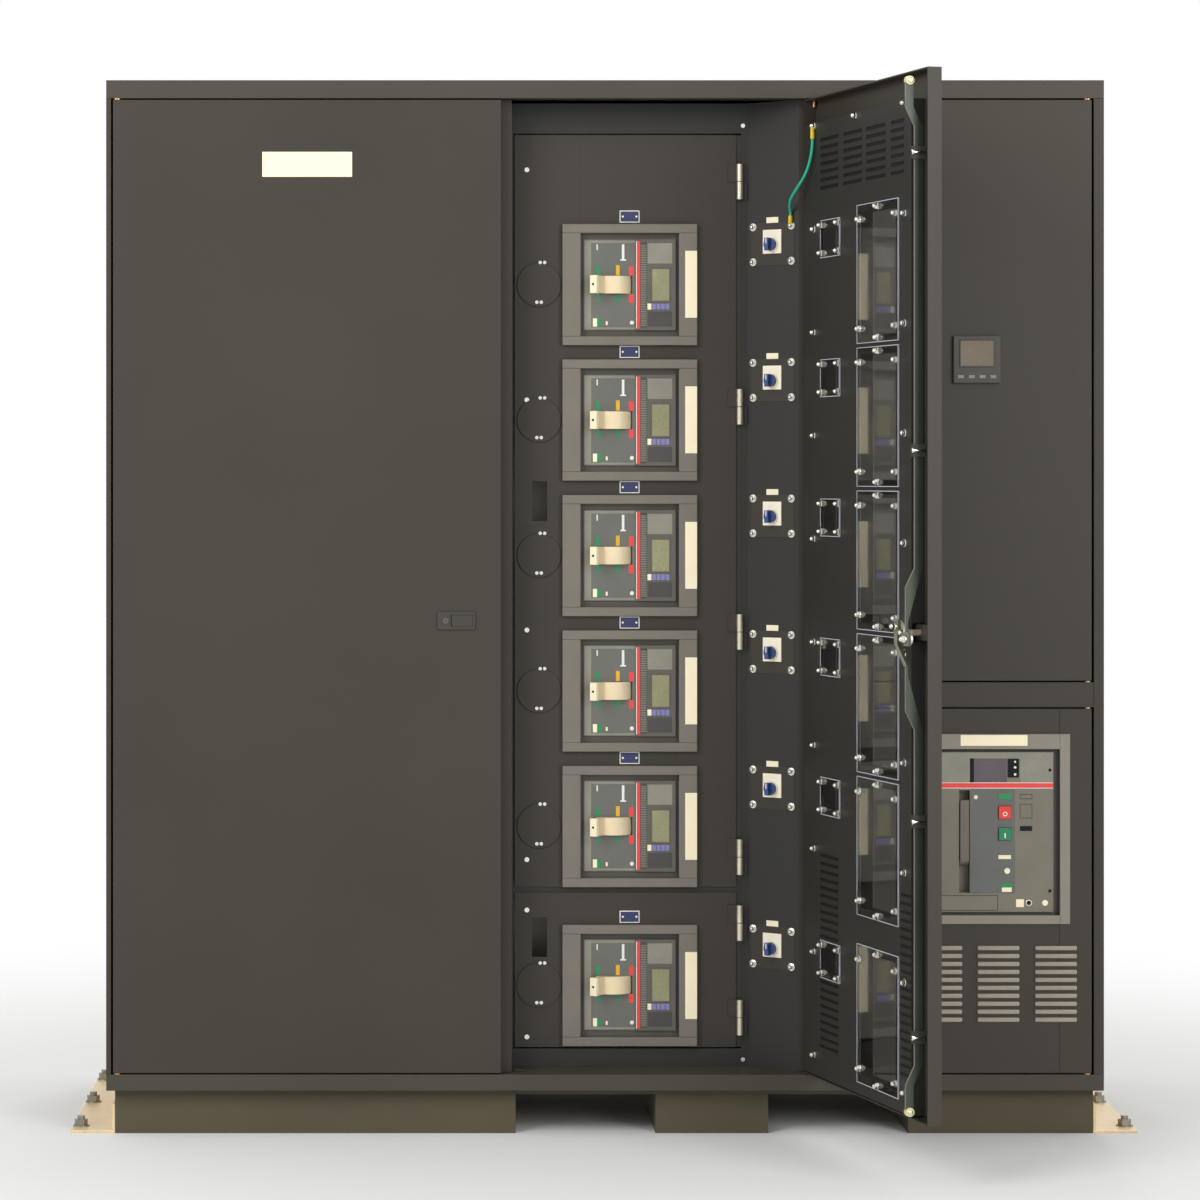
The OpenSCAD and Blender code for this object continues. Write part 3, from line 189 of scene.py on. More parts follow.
# %% [markdown]
# ## Shapes
# Most added pieces are small mouldings: blocks with rounded edges and turned shapes. Each could be an
# object of its own with a Bevel modifier, but hundreds of objects are slow to handle. So each helper
# draws one shape into a mesh in progress, and the last one closes the mesh, gives it its finishes and
# hangs it on the body that it moves with.

# %% Shape helpers
# Folds sharper than SHARP stay crisp, and faces larger than FLAT_AREA, in square metres, are shaded flat.
SHARP = math.radians(20)
FLAT_AREA = 4e-4
ROUND = {"segments": 2, "profile": 0.5, "affect": "EDGES", "clamp_overlap": True}
UP = Vector((0, 0, 1))
FRONT = Vector((0, -1, 0))
INSIDE = Vector((0, 1, 0))


def pour(bm, part, coat, place):
    """Moves a small shape into place and adds it to a mesh in progress."""
    for face in part.faces:
        face.material_index = coat
    part.transform(place)
    scrap = bpy.data.meshes.new("scrap")
    part.to_mesh(scrap)
    part.free()
    bm.from_mesh(scrap)
    bpy.data.meshes.remove(scrap)


def block(bm, lo, hi, edge=0.0, coat=0, place=Matrix()):
    """A block between two corners with its edges rounded by edge."""
    part = bmesh.new()
    size = Vector(hi) - Vector(lo)
    bmesh.ops.create_cube(part, size=1)
    part.transform(Matrix.Translation((Vector(lo) + Vector(hi)) / 2) @ Matrix.Diagonal((*size, 1)))
    if edge:
        bmesh.ops.bevel(part, geom=part.edges[:], offset=edge, **ROUND)
    pour(bm, part, coat, place)


def turned(bm, at, axis, profile, coat=0, sides=24):
    """A turned shape: profile holds (radius, height) pairs along the axis."""
    part = bmesh.new()
    rings = []
    for radius, height in profile:
        rings.append([part.verts.new((radius * c, radius * s, height)) for c, s in circle(sides)])
    skin(part, rings)
    turn = UP.rotation_difference(Vector(axis)).to_matrix().to_4x4()
    pour(bm, part, coat, Matrix.Translation(Vector(at)) @ turn)


def ring_frame(bm, lo, hi, width, edge, coat=0):
    """Four rounded bars around the inside of a box, seen from the front."""
    (x0, y0, z0), (x1, y1, z1) = lo, hi
    block(bm, (x0, y0, z0), (x1, y1, z0 + width), edge, coat)
    block(bm, (x0, y0, z1 - width), (x1, y1, z1), edge, coat)
    block(bm, (x0, y0, z0 + width), (x0 + width, y1, z1 - width), edge, coat)
    block(bm, (x1 - width, y0, z0 + width), (x1, y1, z1 - width), edge, coat)


def plain_object(name, bm, finishes):
    """Closes a mesh in progress, in metres, with smooth rounds and sharp edges."""
    mesh = bpy.data.meshes.new(name)
    bm.to_mesh(mesh)
    bm.free()
    mesh.transform(Matrix.Scale(MM, 4))
    mesh.set_sharp_from_angle(angle=SHARP)
    mesh.polygons.foreach_set("use_smooth", [face.area < FLAT_AREA for face in mesh.polygons])
    for coat in finishes:
        mesh.materials.append(coat)
    piece = bpy.data.objects.new(name, mesh)
    scene.collection.objects.link(piece)
    return piece


def hang(name, bm, body, slot, *finishes):
    """Finishes a mesh and hangs it on a body."""
    piece = plain_object(name, bm, finishes)
    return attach(piece, body)


print("shape helpers ready, sharp above", round(math.degrees(SHARP)), "degrees")

# %% [markdown]
# ## Shared surface effects
# Powder coat, moulded plastic, plated metal and paper all vary a little over their surface. A photograph
# could be wrapped round them, but patterns in the shader have no seams and keep their scale on every
# piece. Each effect is one node group: it takes a colour and puts out a varied colour, a roughness and a
# height. Clouds are the slow changes that handling and light wear leave, and grain is the fine tooth of
# the coat.

# %% Nodes for the effects
NOISE_LOW = 0.3
NOISE_HIGH = 0.7
CLOUD_DETAIL = 5.0
GRAIN_DETAIL = 2.0


def new_group(name, inputs):
    """An empty effect group with a colour input, named numbers, and the three usual outputs."""
    tree = bpy.data.node_groups.new(name, "ShaderNodeTree")
    colour = tree.interface.new_socket("Colour", in_out="INPUT", socket_type="NodeSocketColor")
    colour.default_value = (0.5, 0.5, 0.5, 1)
    for label, value in inputs.items():
        socket = tree.interface.new_socket(label, in_out="INPUT", socket_type="NodeSocketFloat")
        socket.default_value = value
    tree.interface.new_socket("Colour", in_out="OUTPUT", socket_type="NodeSocketColor")
    tree.interface.new_socket("Roughness", in_out="OUTPUT", socket_type="NodeSocketFloat")
    tree.interface.new_socket("Height", in_out="OUTPUT", socket_type="NodeSocketFloat")
    return tree, tree.nodes.new("NodeGroupInput"), tree.nodes.new("NodeGroupOutput")


def link(tree, source, target):
    tree.links.new(source, target)


def give(tree, value, socket):
    """Sets an input to a number, or links another node's output to it."""
    if isinstance(value, (int, float)):
        socket.default_value = value
    else:
        link(tree, value, socket)


def noise(tree, scale, detail, stretch=(1, 1, 1)):
    """Noise on object coordinates; scale is a number or a socket."""
    place = tree.nodes.new("ShaderNodeTexCoord")
    mapping = tree.nodes.new("ShaderNodeMapping")
    mapping.inputs["Scale"].default_value = stretch
    texture = tree.nodes.new("ShaderNodeTexNoise")
    texture.inputs["Detail"].default_value = detail
    link(tree, place.outputs["Object"], mapping.inputs["Vector"])
    link(tree, mapping.outputs["Vector"], texture.inputs["Vector"])
    give(tree, scale, texture.inputs["Scale"])
    return texture.outputs["Fac"]


def spread(tree, value, low, high):
    """Maps the middle of a noise to the range between two numbers or sockets."""
    node = tree.nodes.new("ShaderNodeMapRange")
    inputs = {"Value": value, "From Min": NOISE_LOW, "From Max": NOISE_HIGH, "To Min": low, "To Max": high}
    for label, given in inputs.items():
        give(tree, given, node.inputs[label])
    return node.outputs["Result"]


def arithmetic(tree, operation, *values):
    """A sum on numbers or sockets, as an output of the tree."""
    node = tree.nodes.new("ShaderNodeMath")
    node.operation = operation
    for socket, value in zip(node.inputs, values):
        give(tree, value, socket)
    return node.outputs["Value"]


def tint(tree, colour, factor):
    """A colour made lighter or darker by a factor."""
    node = tree.nodes.new("ShaderNodeVectorMath")
    node.operation = "SCALE"
    link(tree, colour, node.inputs[0])
    link(tree, factor, node.inputs["Scale"])
    return node.outputs["Vector"]


print("noise is spread from", NOISE_LOW, "to", NOISE_HIGH)

# %% Effect groups
EVEN = (1, 1, 1)
DRAWN_OUT = (1, 1, 0.04)


def surface_group(name, grain_stretch, cloud_scale):
    """Grain for the height, and soft clouds that vary the colour and the roughness."""
    inputs = {"Grain": 600.0, "Clouds": 0.1, "Roughness": 0.5, "Uneven": 0.06}
    tree, given, put = new_group(name, inputs)
    clouds = noise(tree, cloud_scale, CLOUD_DETAIL)
    grain = noise(tree, given.outputs["Grain"], GRAIN_DETAIL, grain_stretch)
    low = arithmetic(tree, "SUBTRACT", 1.0, given.outputs["Clouds"])
    high = arithmetic(tree, "ADD", 1.0, given.outputs["Clouds"])
    shade = spread(tree, clouds, low, high)
    fleck = spread(tree, grain, low, high)
    both = arithmetic(tree, "MULTIPLY", shade, fleck)
    link(tree, tint(tree, given.outputs["Colour"], both), put.inputs["Colour"])
    rough_low = arithmetic(tree, "SUBTRACT", given.outputs["Roughness"], given.outputs["Uneven"])
    rough_high = arithmetic(tree, "ADD", given.outputs["Roughness"], given.outputs["Uneven"])
    link(tree, spread(tree, clouds, rough_low, rough_high), put.inputs["Roughness"])
    link(tree, grain, put.inputs["Height"])
    return tree


COATED = surface_group("powder_coat", EVEN, 2.4)
MOULDED = surface_group("moulded_plastic", EVEN, 14.0)
PLATED = surface_group("plated_metal", EVEN, 40.0)
BRUSHED = surface_group("brushed_metal", DRAWN_OUT, 9.0)
PRINTED = surface_group("printed_label", EVEN, 30.0)
print("effect groups", [t.name for t in (COATED, MOULDED, PLATED, BRUSHED, PRINTED)])

# %% [markdown]
# ## Finishes
# Every finish is one of the effects with its own colour and values. One flat colour would look like a
# toy, and a shader of its own for each finish would be the same nodes fifty times. Constant values, such
# as how metallic a surface is, are set on the shader itself. A row gives the colour, the roughness, how
# fine the grain is and its height in millimetres, and then how far the clouds and the roughness vary.

# %% Finish helper
def srgb(red, green, blue):
    """A colour given as screen values, turned into the linear values that a shader takes."""
    def linear(v):
        v /= 255
        return v / 12.92 if v <= 0.04045 else ((v + 0.055) / 1.055) ** 2.4
    return (linear(red), linear(green), linear(blue), 1)


RELIEF = 0.6


def finish(name, effect, colour, rough, grain, bump, clouds=0.08, uneven=0.05, **constants):
    """A material from an effect group; bump is the height of the grain in millimetres."""
    material = bpy.data.materials.new(name)
    material.use_nodes = True
    tree = material.node_tree
    shader = tree.nodes["Principled BSDF"]
    surface = tree.nodes.new("ShaderNodeGroup")
    surface.node_tree = effect
    surface.inputs["Colour"].default_value = colour
    values = {"Grain": grain, "Clouds": clouds, "Roughness": rough, "Uneven": uneven}
    for label, value in values.items():
        surface.inputs[label].default_value = value
    relief = tree.nodes.new("ShaderNodeBump")
    relief.inputs["Strength"].default_value = RELIEF
    relief.inputs["Distance"].default_value = bump * MM
    link(tree, surface.outputs["Colour"], shader.inputs["Base Color"])
    link(tree, surface.outputs["Roughness"], shader.inputs["Roughness"])
    link(tree, surface.outputs["Height"], relief.inputs["Height"])
    link(tree, relief.outputs["Normal"], shader.inputs["Normal"])
    for label, value in constants.items():
        shader.inputs[label.replace("_", " ")].default_value = value
    return material


DULL = {"Specular_IOR_Level": 0.28}
METAL = {"Metallic": 1.0}
print("finishes take a relief of", RELIEF)

# %% Paints and metals
cabinet_paint = finish("cabinet_paint", COATED, srgb(61, 57, 49), 0.48, 900, 0.06, 0.07, **DULL)
cap_paint = finish("cap_paint", COATED, srgb(70, 66, 57), 0.48, 900, 0.06, 0.07, **DULL)
# fold_painted_highlight is a painted highlight: a pale coat for the liner's top fold where light catches it.
fold_painted_highlight = finish("fold_painted_highlight", COATED, srgb(176, 168, 148), 0.4, 900, 0.04, 0.1)
strip_paint = finish("strip_paint", COATED, srgb(50, 49, 46), 0.5, 900, 0.06, 0.06, **DULL)
inner_paint = finish("inner_paint", COATED, srgb(61, 57, 50), 0.5, 900, 0.06, 0.06, **DULL)
plinth_paint = finish("plinth_paint", COATED, srgb(84, 77, 60), 0.6, 700, 0.08, 0.1, **DULL)
plate_cream = finish("plate_cream", PLATED, srgb(228, 203, 162), 0.42, 500, 0.05, 0.08, Metallic=0.35)
zinc = finish("zinc", PLATED, srgb(150, 148, 138), 0.34, 700, 0.03, 0.12, 0.08, **METAL)
pan_zinc = finish("pan_zinc", PLATED, srgb(158, 155, 145), 0.44, 700, 0.02, 0.04, 0.03, Metallic=0.8)
dark_zinc = finish("dark_zinc", PLATED, srgb(104, 104, 94), 0.4, 700, 0.03, 0.12, 0.08, Metallic=0.8)
rod_steel = finish("rod_steel", BRUSHED, srgb(64, 69, 59), 0.42, 700, 0.03, 0.1, 0.06, Metallic=0.35)
# A lighter copy of the rod steel: a painted highlight along the rods' inner edges.
rod_edge_painted_highlight = finish("rod_edge_painted_highlight", BRUSHED, srgb(150, 150, 134), 0.42, 700, 0.03, 0.1, 0.06, Metallic=0.3)
bright_nut = finish("bright_nut", PLATED, srgb(226, 224, 214), 0.16, 900, 0.01, 0.05, 0.05, **METAL)
bronze = finish("bronze", PLATED, srgb(178, 140, 104), 0.38, 600, 0.03, 0.12, **METAL)
copper = finish("copper", BRUSHED, srgb(196, 118, 84), 0.34, 500, 0.03, 0.1, **METAL)
heat_sink = finish("heat_sink", BRUSHED, srgb(176, 177, 180), 0.4, 600, 0.03, 0.08, **METAL)
control_grey = finish("control_grey", COATED, srgb(188, 186, 178), 0.45, 800, 0.04, 0.04)
# A lighter copy of the cabinet paint: painted light from above on the louvre hoods.
hood_painted_highlight = finish("hood_painted_highlight", COATED, srgb(158, 150, 138), 0.48, 900, 0.06, 0.1, **DULL)
hinge_steel = finish("hinge_steel", PLATED, srgb(222, 212, 190), 0.3, 700, 0.02, 0.08, Metallic=0.6)
print("paints and metals", len(bpy.data.materials))

# %% Plastics
breaker_black = finish("breaker_black", MOULDED, srgb(48, 48, 48), 0.5, 1200, 0.04, 0.08, **DULL)
trip_grey = finish("trip_grey", MOULDED, srgb(92, 88, 80), 0.4, 1200, 0.04, 0.08)
collar_grey = finish("collar_grey", MOULDED, srgb(92, 88, 80), 0.5, 1200, 0.04, 0.06, **DULL)
shade_grey = finish("shade_grey", MOULDED, srgb(66, 63, 60), 0.4, 1200, 0.04, 0.08)
breaker_grey = finish("breaker_grey", MOULDED, srgb(104, 104, 98), 0.46, 1200, 0.04, 0.06)
panel_blue = finish("panel_blue", MOULDED, srgb(98, 100, 96), 0.46, 1200, 0.04, 0.06)
rim_clear = finish("rim_clear", MOULDED, srgb(140, 138, 124), 0.22, 900, 0.02, 0.1)
bezel_grey = finish("bezel_grey", MOULDED, srgb(122, 116, 107), 0.52, 1000, 0.06, 0.05, **DULL)
flange_grey = finish("flange_grey", MOULDED, srgb(142, 136, 125), 0.52, 1000, 0.06, 0.05, **DULL)
air_breaker_grey = finish("air_breaker_grey", MOULDED, srgb(126, 121, 108), 0.48, 1000, 0.05, 0.05, **DULL)
lever_grey = finish("lever_grey", MOULDED, srgb(112, 107, 97), 0.48, 1000, 0.05, 0.05, **DULL)
meter_grey = finish("meter_grey", MOULDED, srgb(76, 73, 69), 0.4, 1000, 0.04, 0.05, **DULL)
roller_cream = finish("roller_cream", MOULDED, srgb(214, 204, 150), 0.4, 900, 0.02, 0.05)
toggle_cream = finish("toggle_cream", MOULDED, srgb(240, 220, 182), 0.4, 1200, 0.03, 0.05)
knob_blue = finish("knob_blue", MOULDED, srgb(52, 77, 134), 0.3, 1200, 0.02, 0.06)
button_green = finish("button_green", MOULDED, srgb(20, 128, 84), 0.32, 1200, 0.02, 0.05)
button_red = finish("button_red", MOULDED, srgb(232, 58, 52), 0.32, 1200, 0.02, 0.05)
latch_black = finish("latch_black", MOULDED, srgb(66, 63, 58), 0.5, 900, 0.05, 0.06, **DULL)
key_lavender = finish("key_lavender", MOULDED, srgb(128, 126, 178), 0.45, 900, 0.02, 0.05)
# gap_black is also painted shade where it fills the louvre slits, the keyholes and the toggle caps' holes.
gap_black = finish("gap_black", MOULDED, srgb(16, 16, 16), 0.7, 900, 0.03, 0.05, **DULL)
wire_green = finish("wire_green", MOULDED, srgb(36, 180, 146), 0.4, 900, 0.02, 0.05)
lug_yellow = finish("lug_yellow", MOULDED, srgb(226, 196, 40), 0.4, 900, 0.02, 0.05)
print("with plastics", len(bpy.data.materials))

# %% Prints, screens and clear sheet
legend_white = finish("legend_white", PRINTED, srgb(255, 246, 224), 0.5, 900, 0.02, 0.03)
label_cream = finish("label_cream", PRINTED, srgb(255, 243, 208), 0.6, 900, 0.02, 0.02)
mark_white = finish("mark_white", PRINTED, srgb(240, 238, 228), 0.5, 900, 0.01, 0.03)
mark_green = finish("mark_green", PRINTED, srgb(24, 142, 80), 0.5, 900, 0.01, 0.05)
mark_yellow = finish("mark_yellow", PRINTED, srgb(232, 178, 40), 0.5, 900, 0.01, 0.05)
stripe_red = finish("stripe_red", PRINTED, srgb(236, 66, 62), 0.42, 900, 0.01, 0.04)
tag_navy = finish("tag_navy", PRINTED, srgb(42, 48, 92), 0.4, 900, 0.01, 0.05)
screen_olive = finish("screen_olive", MOULDED, srgb(146, 144, 108), 0.24, 300, 0.0, 0.12)
screen_brown = finish("screen_brown", MOULDED, srgb(120, 107, 92), 0.16, 300, 0.0, 0.1)
screen_plum = finish("screen_plum", MOULDED, srgb(92, 82, 88), 0.14, 300, 0.0, 0.1)
pane_edge = finish("pane_edge", MOULDED, srgb(206, 206, 214), 0.2, 900, 0.0, 0.05)
clear_pane = finish("clear_pane", MOULDED, srgb(246, 249, 250), 0.03, 300, 0.0, 0.0, 0.02,
                    Transmission_Weight=1.0, IOR=1.49)
print("finishes", len(bpy.data.materials))

# %% [markdown]
# ## Light and floor
# The cabinet stands on a pale floor in soft studio light. A lamp could wash the floor out to white, but
# it would wash the object out too. So the sky is white only where the camera, a gloss or a clear pane
# looks at it, the floor fades to that white away from the cabinet, and near the cabinet it keeps the
# shadow.

# %% World
SKY_LIGHT = 0.62


def seen_ray(tree):
    """One where the camera, a reflection or a clear pane looks, nought for light that falls on a surface."""
    path = tree.nodes.new("ShaderNodeLightPath")
    either = arithmetic(tree, "MAXIMUM", path.outputs["Is Camera Ray"], path.outputs["Is Glossy Ray"])
    return arithmetic(tree, "MAXIMUM", either, path.outputs["Is Transmission Ray"])


world = bpy.data.worlds.new("studio")
scene.world = world
world.use_nodes = True
sky = world.node_tree
strength = sky.nodes.new("ShaderNodeMapRange")
strength.inputs["To Min"].default_value = SKY_LIGHT
strength.inputs["To Max"].default_value = 1.0
link(sky, seen_ray(sky), strength.inputs["Value"])
sky.nodes["Background"].inputs["Color"].default_value = (1, 1, 1, 1)
link(sky, strength.outputs["Result"], sky.nodes["Background"].inputs["Strength"])
scene.view_settings.view_transform = "Standard"
print("sky", SKY_LIGHT)

# %% Floor
FLOOR_SIZE = 60
FLOOR_COLOUR = (0.93, 0.93, 0.92, 1)
FLOOR_ROUGH = 0.9
FADE_START = 1.2
FADE_END = 3.2

floor_material = bpy.data.materials.new("studio_floor")
floor_material.use_nodes = True
tree = floor_material.node_tree
shader = tree.nodes["Principled BSDF"]
shader.inputs["Base Color"].default_value = FLOOR_COLOUR
shader.inputs["Roughness"].default_value = FLOOR_ROUGH
shader.inputs["Specular IOR Level"].default_value = 0.0
white = tree.nodes.new("ShaderNodeEmission")
place = tree.nodes.new("ShaderNodeTexCoord")
distance = tree.nodes.new("ShaderNodeVectorMath")
distance.operation = "LENGTH"
fade = tree.nodes.new("ShaderNodeMapRange")
fade.interpolation_type = "SMOOTHSTEP"
fade.inputs["From Min"].default_value = FADE_START
fade.inputs["From Max"].default_value = FADE_END
mixed = tree.nodes.new("ShaderNodeMixShader")
link(tree, place.outputs["Object"], distance.inputs[0])
link(tree, distance.outputs["Value"], fade.inputs["Value"])
washed = arithmetic(tree, "MULTIPLY", fade.outputs["Result"], seen_ray(tree))
link(tree, washed, mixed.inputs["Fac"])
link(tree, shader.outputs["BSDF"], mixed.inputs[1])
link(tree, white.outputs["Emission"], mixed.inputs[2])
link(tree, mixed.outputs["Shader"], tree.nodes["Material Output"].inputs["Surface"])

half = FLOOR_SIZE / 2
square = ((-half, -half), (half, -half), (half, half), (-half, half))
bm = bmesh.new()
bm.faces.new([bm.verts.new((x, y, 0)) for x, y in square])
floor_mesh = bpy.data.meshes.new("floor")
bm.to_mesh(floor_mesh)
bm.free()
floor_mesh.materials.append(floor_material)
floor = bpy.data.objects.new("floor", floor_mesh)
scene.collection.objects.link(floor)
print("floor fades to white between", FADE_START, "and", FADE_END, "m")

# %% Lamps
LAMP_SIZE = 2.6
LAMPS_LOOK_AT = Vector((0, -0.4, 1.1))
LAMPS = {
    "key_lamp": ((-3.6, -4.6, 3.8), 150),
    "fill_lamp": ((3.4, -5.2, 2.6), 130),
    "rear_lamp": ((0.5, 4.5, 3.6), 90),
}
for name, (at, power) in LAMPS.items():
    lamp = bpy.data.lights.new(name, "AREA")
    lamp.size = LAMP_SIZE
    lamp.energy = power
    lamp_object = bpy.data.objects.new(name, lamp)
    lamp_object.location = at
    look = LAMPS_LOOK_AT - Vector(at)
    lamp_object.rotation_euler = look.to_track_quat("-Z", "Y").to_euler()
    scene.collection.objects.link(lamp_object)
print("lamps", {name: power for name, (_, power) in LAMPS.items()})

# %% [markdown]
# ## Finishes on the solids
# Each solid takes the finish of the real piece: powder coat on the sheets, plated steel on what is
# screwed down, moulded plastic on breakers and latches. The finish could be chosen by the name of the
# record's slot, but pieces that share a slot differ a little here, so one list names them. All others are
# cabinet paint.

# %% Finish every solid
SOLID_FINISH = {
    "plinth": plinth_paint, "roof_cap": cap_paint, "base_frame": cap_paint, "floor_plates": plate_cream,
    "mounting_pans": pan_zinc, "hinge_pins": bronze, "busbars": copper, "heat_sink_stacks": heat_sink,
    "control_unit": control_grey, "deadfront_frame": strip_paint, "door_liner": strip_paint,
    "inner_door_upper": inner_paint, "inner_door_lower": inner_paint, "window_panes": clear_pane,
    "upper_covers": bezel_grey, "lower_covers": bezel_grey, "door_fittings": dark_zinc,
    "latch_cam": hinge_steel, "upper_rod": rod_steel, "lower_rod": rod_steel, "bond_wire": wire_green,
    "breaker_cases": breaker_black, "breaker_faces": breaker_grey, "trip_units": trip_grey,
    "selector_plates": legend_white, "meter": meter_grey, "air_breaker_case": breaker_black,
    "air_breaker_face": air_breaker_grey, "air_breaker_flange": flange_grey, "charging_lever": lever_grey,
    "on_button": button_green, "off_button": button_red,
}
for i in BREAKERS:
    SOLID_FINISH[f"toggle_{i}"] = toggle_cream
    SOLID_FINISH[f"selector_knob_{i}"] = knob_blue
for latch in LATCH_NAMES:
    SOLID_FINISH[f"{latch}_latch_case"] = latch_black
    SOLID_FINISH[f"{latch}_paddle"] = latch_black

for name, solid in frame["nodes"].items():
    solid.data.materials.clear()
    solid.data.materials.append(SOLID_FINISH.get(name, cabinet_paint))
print("solids finished", len(frame["nodes"]))

# %% [markdown]
# ## Rounded edges
# A folded sheet never has a knife edge, and the thin line of light along a fold is what makes steel look
# like steel. A Bevel modifier on the solid would change it, and the solids stay as they are. So the
# solids whose edges show are drawn again as a copy: its triangles are joined into whole faces, and its
# long sharp edges are rounded. Some sheets are several solids with a hairline between them. There the
# copy's faces are moved until they meet, so that no seam shows. The copy stands for the solid and moves
# with the same body.

# %% Rounding helper
FOLD = math.radians(40)
FLAT = math.radians(1)
SAME_POINT = 0.005
SEAM = 0.3
OFF_FACE = SEAM / 20
body_of_node = {n: b for b, ns in frame["record"]["behaviour"]["bodies"].items() for n in ns}
slot_of_node = {s["node"]: s["material_slot"] for s in frame["record"]["subparts"]}


def at_seam(solids, edge):
    """True where a face beside the edge looks at another solid across a hairline seam."""
    mid = (edge.verts[0].co + edge.verts[1].co) / 2
    for face in edge.link_faces:
        inward = (face.calc_center_median() - mid).normalized()
        start = mid + inward * SEAM + face.normal * OFF_FACE
        if solids.ray_cast(start, face.normal, SEAM)[0] is not None:
            return True
    return False


def close_seams(solids, bm):
    """Moves the faces on both sides of a hairline seam until they meet."""
    for face in bm.faces:
        start = face.calc_center_median() + face.normal * OFF_FACE
        place, _, _, gap = solids.ray_cast(start, face.normal, SEAM)
        if place is not None:
            bmesh.ops.translate(bm, verts=face.verts[:], vec=face.normal * gap)


def rounded(node, width, shortest, *more_coats, pick=None, show_seams=False):
    """A copy of a solid with every long sharp edge rounded by width; it stands for the solid.

    Edges no longer than shortest stay sharp. Where pick says so of a face, it takes the second finish.
    """
    bm = bmesh.new()
    bm.from_mesh(frame["nodes"][node].data)
    bm.transform(Matrix.Scale(1 / MM, 4))
    bmesh.ops.remove_doubles(bm, verts=bm.verts[:], dist=SAME_POINT)
    bmesh.ops.dissolve_limit(bm, angle_limit=FLAT, verts=bm.verts[:], edges=bm.edges[:])
    edges = [e for e in bm.edges
             if e.is_manifold and e.calc_length() > shortest and e.calc_face_angle() > FOLD]
    if not show_seams:
        solids = BVHTree.FromBMesh(bm)
        edges = [e for e in edges if not at_seam(solids, e)]
        close_seams(solids, bm)
    bmesh.ops.bevel(bm, geom=edges, offset=width, **ROUND)
    for face in bm.faces:
        face.material_index = int(pick(face)) if pick else 0
    coats = (SOLID_FINISH.get(node, cabinet_paint), *more_coats)
    piece = hang(f"{node}_rounded", bm, body_of_node[node], slot_of_node[node], *coats)
    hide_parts(node)
    return piece


print("solids to choose from", len(body_of_node))

# %% Round the sheets
SHEET_FOLD = 1.1
LONG_EDGE = 6
LINER_FOLD_Z = 2055
LOOKS_UP = 0.3
SHEETS = ("left_door", "centre_door", "upper_right_door", "lower_right_door", "roof_cap", "base_frame",
          "front_frame", "side_panels", "plinth", "floor_plates")
for node in SHEETS:
    rounded(node, SHEET_FOLD, LONG_EDGE)
# The liner's upward faces near its top take the painted highlight of light catching the fold.
rounded("door_liner", SHEET_FOLD, LONG_EDGE, fold_painted_highlight,
        pick=lambda face: face.normal.z > LOOKS_UP and face.calc_center_median().z > LINER_FOLD_Z)
print("sheets", len(SHEETS) + 1)

# %% Round the mouldings and fittings
MOULDING = 1.4
FINE = 0.5
SHORT_EDGE = 3
LATCH_ROUND = 1.2
TOGGLE_ROUND = 2.4
TOGGLE_EDGE = 8
KNOB_ROUND = 1.0
PORTS_END_X = -84
GUIDES_BEGIN_Y = -700
LOOKS_IN = 0.4
door_inward = door_turn.to_3x3() @ INSIDE
for node in ("air_breaker_flange", "meter", "air_breaker_face", "charging_lever"):
    rounded(node, MOULDING, LONG_EDGE)
for node in ("upper_covers", "lower_covers"):
    rounded(node, MOULDING, LONG_EDGE, inner_paint, show_seams=True,
            pick=lambda face: face.calc_center_median().x < PORTS_END_X)
for node in ("on_button", "off_button", "window_panes"):
    rounded(node, FINE, SHORT_EDGE)
# Rod faces that look into the door take a painted highlight along the bar's edge.
for node in ("upper_rod", "lower_rod"):
    rounded(node, FINE, SHORT_EDGE, rod_edge_painted_highlight, pick=lambda face: face.normal.dot(door_inward) > LOOKS_IN)
rounded("door_fittings", FINE, SHORT_EDGE, latch_black,
        pick=lambda face: face.calc_center_median().y < GUIDES_BEGIN_Y)
for latch in LATCH_NAMES:
    rounded(f"{latch}_latch_case", LATCH_ROUND, LONG_EDGE)
    rounded(f"{latch}_paddle", FINE, LONG_EDGE)
for i in BREAKERS:
    rounded(f"toggle_{i}", TOGGLE_ROUND, TOGGLE_EDGE)
    rounded(f"selector_knob_{i}", KNOB_ROUND, SHORT_EDGE)

# %% [markdown]
# ## The wire and its sleeves
# The wire could be a curve with a round bevel. It is swept here as a mesh instead. A yellow sleeve
# covers each crimped lug, the upper one on the door and the lower one on the frame.

# %% Bonding wire and its sleeves
bm = bmesh.new()
sweep(bm, wire_route, WIRE_RADIUS, WIRE_SIDES)
wire = plain_object("bonding_wire", bm, [wire_green])
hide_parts("bond_wire")
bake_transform(wire)

SLEEVE = [(3.4, -6), (4.4, -5), (4.4, 9), (4.1, 10.5), (4.1, 16.2), (3.2, 17)]
bm = bmesh.new()
turned(bm, WIRE_POINTS[0], UP, SLEEVE)
hang("upper_sleeve", bm, "centre_door", "wire_green", lug_yellow)
bm = bmesh.new()
turned(bm, WIRE_POINTS[-1], -UP, SLEEVE)
hang("lower_sleeve", bm, "cabinet", "wire_green", lug_yellow)
print("wire of", len(wire_route), "rings and two sleeves")

# %% [markdown]
# ## Fasteners and louvres by Geometry Nodes
# Nuts, screws and louvres come by the dozen, and copying a mesh for each would hide how they are made. So
# each kind is one node tree that draws the shape from a few sizes and sets it on points. A point carries
# the direction it looks in, and the tree turns the shape to it. The result becomes one plain mesh for
# each body.

# %% Tools for the trees
DOME_SEGMENTS = 14
DOME_RINGS = 8


